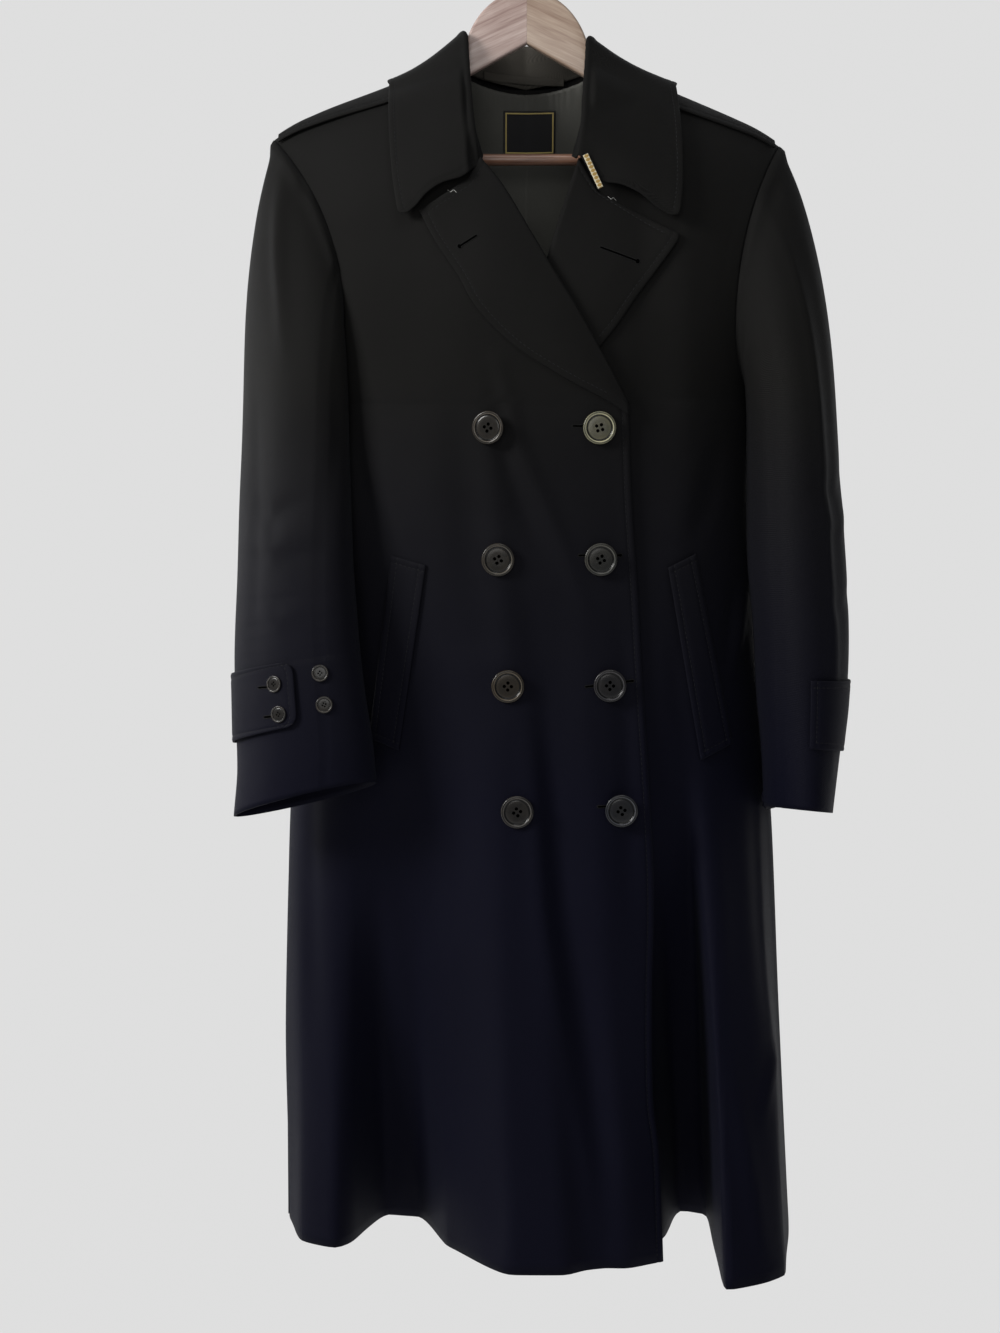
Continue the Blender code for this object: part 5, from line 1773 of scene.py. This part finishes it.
def on_front_of(tree, x, z, lift):
    """The place where a line from the front meets the cloth, moved out a little."""
    place, normal, _, _ = tree.ray_cast(Vector((x, -400.0, z)) * MM, Vector((0.0, 1.0, 0.0)))
    if place is None:
        return None
    if normal.y > 0:
        normal = -normal
    return place + normal * lift * MM


def hole_outline(start, end, eye):
    """The closed line of a buttonhole's worked edge, round an eye or a plain end."""
    way = (end - start).normalized()
    across = Vector((-way.y, way.x))
    length = (end - start).length
    steps = HOLE_STEPS
    line = [start + way * length * k / steps + across * HOLE_HALF for k in range(steps)]
    reach = max(eye, HOLE_HALF)
    most = EYE_TURN if eye else END_TURN
    for k in range(EYE_STEPS + 1):
        angle = math.radians(mix(most, -most, k / EYE_STEPS))
        line.append(end + way * reach * math.cos(angle) + across * reach * math.sin(angle))
    for k in range(1, steps + 1):
        line.append(start + way * length * (1 - k / steps) - across * HOLE_HALF)
    line.append(start - way * HOLE_HALF * 0.8)
    return line + line[:1]


def add_threads(bm, tree, lines, lift, radius):
    for line in lines:
        places = [on_front_of(tree, p.x, p.y, lift) for p in line]
        add_tube(bm, [p for p in places if p is not None], radius * MM, 8)


def add_eye(bm, tree, x, z, radius):
    """A sunk black disc in a buttonhole's eye, painted shadow."""
    middle, beside, above = [
        on_front_of(tree, x + right, z + up, -EDGE_LIFT) for right, up in ((0, 0), (1, 0), (0, 1))
    ]
    turn = turn_to((beside - middle).cross(above - middle).normalized())
    bmesh.ops.create_cone(
        bm, cap_ends=True, segments=20, radius1=radius * MM, radius2=radius * MM,
        depth=EYE_DEPTH * MM, matrix=Matrix.Translation(middle) @ turn,
    )


def finished(name, bm, finish):
    bmesh.ops.recalc_face_normals(bm, faces=bm.faces)
    return dress(mesh_object(name, bm, finish), [])


def make_buttonholes():
    for hole in rows_of(HOLE_COLUMNS, BUTTONHOLES):
        tree = trees_of([hole["cloth"]])[0]
        start = Vector(hole["start"])
        end = Vector(hole["end"])
        way = (end - start).normalized()
        across = Vector((-way.y, way.x))
        bm = bmesh.new()
        add_threads(bm, tree, [hole_outline(start, end, hole["eye"])], EDGE_LIFT, EDGE_RADIUS)
        finished(f"{hole['name']}_edge", bm, buttonhole_twist())
        bm = bmesh.new()
        middle = [start + (end - start) * k / HOLE_STEPS for k in range(HOLE_STEPS + 1)]
        lines = [[p + across * offset for p in middle] for offset in SLIT_OFFSETS]
        add_threads(bm, tree, lines, SLIT_LIFT, SLIT_RADIUS)
        if hole["eye"]:
            add_eye(bm, tree, end.x, end.y, hole["eye"])
        finished(f"{hole['name']}_slit", bm, painted_shadow_black())


# Loose thread ends in the gaps between the collar and the lapels
THREAD_ENDS = (
    ("right", (-68.5, -258.0), (-66.0, -260.5), (-63.5, -258.8), (-61.0, -261.0)),
    ("left", (69.5, -263.0), (72.0, -265.5), (74.0, -263.8), (76.5, -266.5)),
)
THREAD_END_RADIUS = 0.22


def make_thread_ends():
    for word, *places in THREAD_ENDS:
        trees = trees_of([f"{word}_lapel_cloth", f"{word}_front_cloth"])
        line = []
        for x, z in places:
            found = [on_front_of(tree, x, z, 0.3) for tree in trees]
            met = [place for place in found if place is not None]
            line.append(min(met, key=lambda place: place.y))
        bm = bmesh.new()
        add_tube(bm, dense(line, 24), THREAD_END_RADIUS * MM, 6)
        finished(f"{word}_gorge_thread_end", bm, pale_thread())


# Inside the neck
LINING_HALF_WIDTHS = (56.0, 66.0)
LINING_LOW_Z = -352.0
PLEAT_HEIGHT = 1.3


def lining_point(down, across):
    """The satin, gathered along its top and with one pleat down its middle."""
    x = mix(-1.0, 1.0, across) * mix(*LINING_HALF_WIDTHS, down)
    z = mix(back_neck_z(x) - 7.0, LINING_LOW_Z, down)
    corner = 2.8 * abs(x / NECK_POINT_X) ** 3 * (1.0 - down)
    gather = 0.4 * math.sin(x * 0.95 + 2.0 * math.sin(x * 0.21)) * math.exp(-down / 0.05)
    past = math.exp(-max(0.0, x - 1.0) / 5.0) if x > 1.0 else ease((x + 0.6) / 1.6)
    return inside_back_at(x, z, 2.0 + corner + gather + PLEAT_HEIGHT * past * 0.8)


def make_lining():
    net = turned(grid_of(70, 96, lining_point), facing(0, 40, -260, 0, -1, 0))
    net = raised(net, unevenness(net, 24.0, 1.3, 15) * fade_at_edges(net, 8.0))
    made = cloth_object("neck_lining_satin", net, satin(), 0.9)
    declare_sheet(dress(made, ["neck_lining"]), net)


LOOP_SPAN = (-38.0, 34.0)
LOOP_HEIGHTS = (-138.0, -145.0)
LOOP_FALL = 0.08


def loop_point(down, across):
    x = mix(*LOOP_SPAN, across)
    z = mix(*LOOP_HEIGHTS, down) - LOOP_FALL * (x - LOOP_SPAN[0])
    depth = 46.0 * math.sqrt(1.0 - (x / NECK_POINT_X) ** 2) - 7.9
    return np.array([x, depth - 0.5 * math.sin(math.pi * down), z])


def make_loop():
    """The hanging loop, with a stitched box and one diagonal at the wearer's left end."""
    net = turned(grid_of(12, 60, loop_point), facing(0, 40, -152, 0, -1, 0))
    # The loop takes the same paler cloth, painted light.
    made = cloth_object("hanging_loop_cloth", net, stand_cloth_painted_lit(), 1.2)
    dress(made, ["hanging_loop"])
    near = list(range(-9, -2) if net[0, 0, 0] < net[0, -1, 0] else range(2, 9))
    down = range(2, 11)
    diagonal = [near[0] + round(k * (len(near) - 1) / 8) for k in range(9)]
    box = [[net[j, i] for i in near] for j in (2, 10)]
    box += [[net[j, i] for j in down] for i in (near[0], near[-1])]
    box.append([net[j, i] for j, i in zip(down, diagonal)])
    box = [np.array(line) - np.array([0, 0.2, 0]) for line in box]
    stitching("hanging_loop_stitching", box, 1.3, 0.6, 0.22)


LABEL_SPAN = (-20.5, 26.5)
LABEL_TOP_AND_LOW = (-173.0, -211.5)
LABEL_INSET = 4.4


def label_point(down, across):
    """The bare label, a little wavy below and curled at its sides."""
    inset = LABEL_INSET + 0.3 * math.sin(across * 15.0) * down - 0.4 * abs(2 * across - 1.0) ** 8
    return inside_back_at(mix(*LABEL_SPAN, across), mix(*LABEL_TOP_AND_LOW, down), inset)


def make_label():
    net = turned(grid_of(24, 30, label_point), facing(0, 40, -210, 0, -1, 0))
    made = cloth_object("blank_label_satin", net, label_cloth(), 0.7)
    declare_sheet(dress(made, ["blank_label"]), net)


TAPE_LIFT = 13.7


def tape_point(down, across):
    x = mix(47.5, 60.5, down) + mix(0.0, 4.2, across)
    z = mix(-229.0, -258.0, down) + mix(0.0, 2.0, across)
    return left_front_at(x, z) - np.array([0.0, TAPE_LIFT, 0.0])


def make_tape():
    net = turned(grid_of(30, 8, tape_point), facing(55, -80, -240, 0, -1, 0))
    dress(cloth_object("neck_tape_cloth", net, tape_cloth(), 0.6), ["neck_tape"])


# Hanger
ARM_WOODS = {
    -1: ((0.43, 0.335, 0.30), (0.23, 0.15, 0.13)),
    1: ((0.37, 0.285, 0.22), (0.22, 0.145, 0.105)),
}
BAR_WOOD = ((0.26, 0.13, 0.08), (0.12, 0.055, 0.035))
MITRE_GAP = 0.05
ARM_BEVEL = 2.4
BAR_BEVEL = 0.8
ARM_TOP_PLACES = (90.0, 105.0, 120.0, 135.0, 150.0, 165.0, 180.0, 194.0)


def arm_outline():
    """One arm from the front: the arch from the middle out, the top to its end, and back below."""
    top = []
    for k in range(25):
        x = ARCH_HALF_WIDTH * math.sin(math.radians(84.0) * k / 24)
        rise = math.sqrt(1.0 - (x / ARCH_HALF_WIDTH) ** 2)
        top.append((x + MITRE_GAP, ARCH_CENTRE_Z + ARCH_RISE * rise))
    top.append((67.0, ridge_z(67.0) - NECK_DROP))
    top += [(x, ridge_z(x) - ARM_DROP) for x in ARM_TOP_PLACES]
    top.append((ARM_END_X, ridge_z(ARM_END_X) - ARM_DROP - 6.0))
    low = [(ARM_END_X, -232.0), (ARM_END_X - 4.0, -236.0), (BAR_HALF_LENGTH + SEAT_GAP, -236.0)]
    low += [(BAR_HALF_LENGTH + SEAT_GAP, -215.0), (150.0, -201.0), (100.0, -179.0), (72.0, -166.0)]
    low += [(54.0, -151.0), (MITRE_GAP, -121.0)]
    return top + low


def bevelled(bm, edges, offset, segments, clamped=False):
    bmesh.ops.bevel(
        bm, geom=edges, offset=offset * MM, segments=segments, profile=0.5, affect="EDGES",
        clamp_overlap=clamped, material=-1,
    )


def dress_wood(name, bm, finish, node):
    made = mesh_object(name, bm, finish)
    made.data.set_sharp_from_angle(angle=math.radians(40))
    dress(made, [node])


def make_arm(side, word):
    bm = bmesh.new()
    verts = []
    for x, z in arm_outline():
        place = Vector((side * x, WOOD_Y - WOOD_HALF, z + LEAN * x * (1 - side)))
        verts.append(bm.verts.new(place * MM))
    grown = bmesh.ops.extrude_face_region(bm, geom=[bm.faces.new(verts)])
    back = parts_of(grown, bmesh.types.BMVert)
    bmesh.ops.translate(bm, vec=(0.0, 2 * WOOD_HALF * MM, 0.0), verts=back)
    bmesh.ops.recalc_face_normals(bm, faces=bm.faces)
    rims = []
    for edge in bm.edges:
        a, b = edge.verts
        along_face = abs(a.co.y - b.co.y) < 1e-6
        at_mitre = abs(a.co.x) < 0.3 * MM and abs(b.co.x) < 0.3 * MM
        if along_face and not at_mitre:
            rims.append(edge)
    bevelled(bm, rims, ARM_BEVEL, 5, clamped=True)
    finish = wood(f"{word} arm wood", *ARM_WOODS[side], -side * 0.45)
    dress_wood(f"hanger_arm_{word}_wood", bm, finish, f"hanger_arm_{word}")


def make_bar():
    bm = bmesh.new()
    radius = BAR_RADIUS * MM
    length = 2 * BAR_HALF_LENGTH * MM
    bmesh.ops.create_cone(
        bm, cap_ends=True, segments=40, radius1=radius, radius2=radius, depth=length
    )
    ends = [edge for edge in bm.edges if len({round(v.co.z, 5) for v in edge.verts}) == 1]
    bevelled(bm, ends, BAR_BEVEL, 2)
    lying = Matrix.Rotation(math.pi / 2, 4, "Y")
    place = Matrix.Translation((0.0, WOOD_Y * MM, BAR_Z * MM)) @ lying
    bmesh.ops.transform(bm, matrix=place, verts=bm.verts)
    dress_wood("trouser_bar_wood", bm, wood("bar wood", *BAR_WOOD, 0.0), "trouser_bar")


def make_hook():
    radius = HOOK_INNER_RADIUS + HOOK_WIRE
    points = [(0.0, -75.0), (0.0, -66.0), (1.0, -58.0), (6.0, -49.0)]
    for turn in range(-38, 201, 17):
        angle = math.radians(turn)
        points.append((radius * math.cos(angle), -HOOK_INNER_RADIUS + radius * math.sin(angle)))
    line = dense([(x, 0.0, z) for x, z in points], 90)
    bm = bmesh.new()
    add_tube(bm, line * MM, HOOK_WIRE * MM, 16)
    tip = Matrix.Translation(Vector(line[-1]) * MM)
    bmesh.ops.create_uvsphere(bm, u_segments=16, v_segments=10, radius=HOOK_WIRE * MM, matrix=tip)
    bmesh.ops.recalc_face_normals(bm, faces=bm.faces)
    dress(mesh_object("hanger_hook_wire", bm, steel()), ["hanger_hook"])


def main():
    set_up_view()
    set_up_light()
    set_up_stage()
    make_fronts()
    make_back()
    make_sleeves()
    make_collar()
    make_lapels()
    make_epaulettes()
    make_welts()
    make_tabs()
    make_buttons()
    make_buttonholes()
    make_thread_ends()
    make_lining()
    make_loop()
    make_label()
    make_tape()
    for side, word in SIDES:
        make_arm(side, word)
    make_bar()
    make_hook()


main()
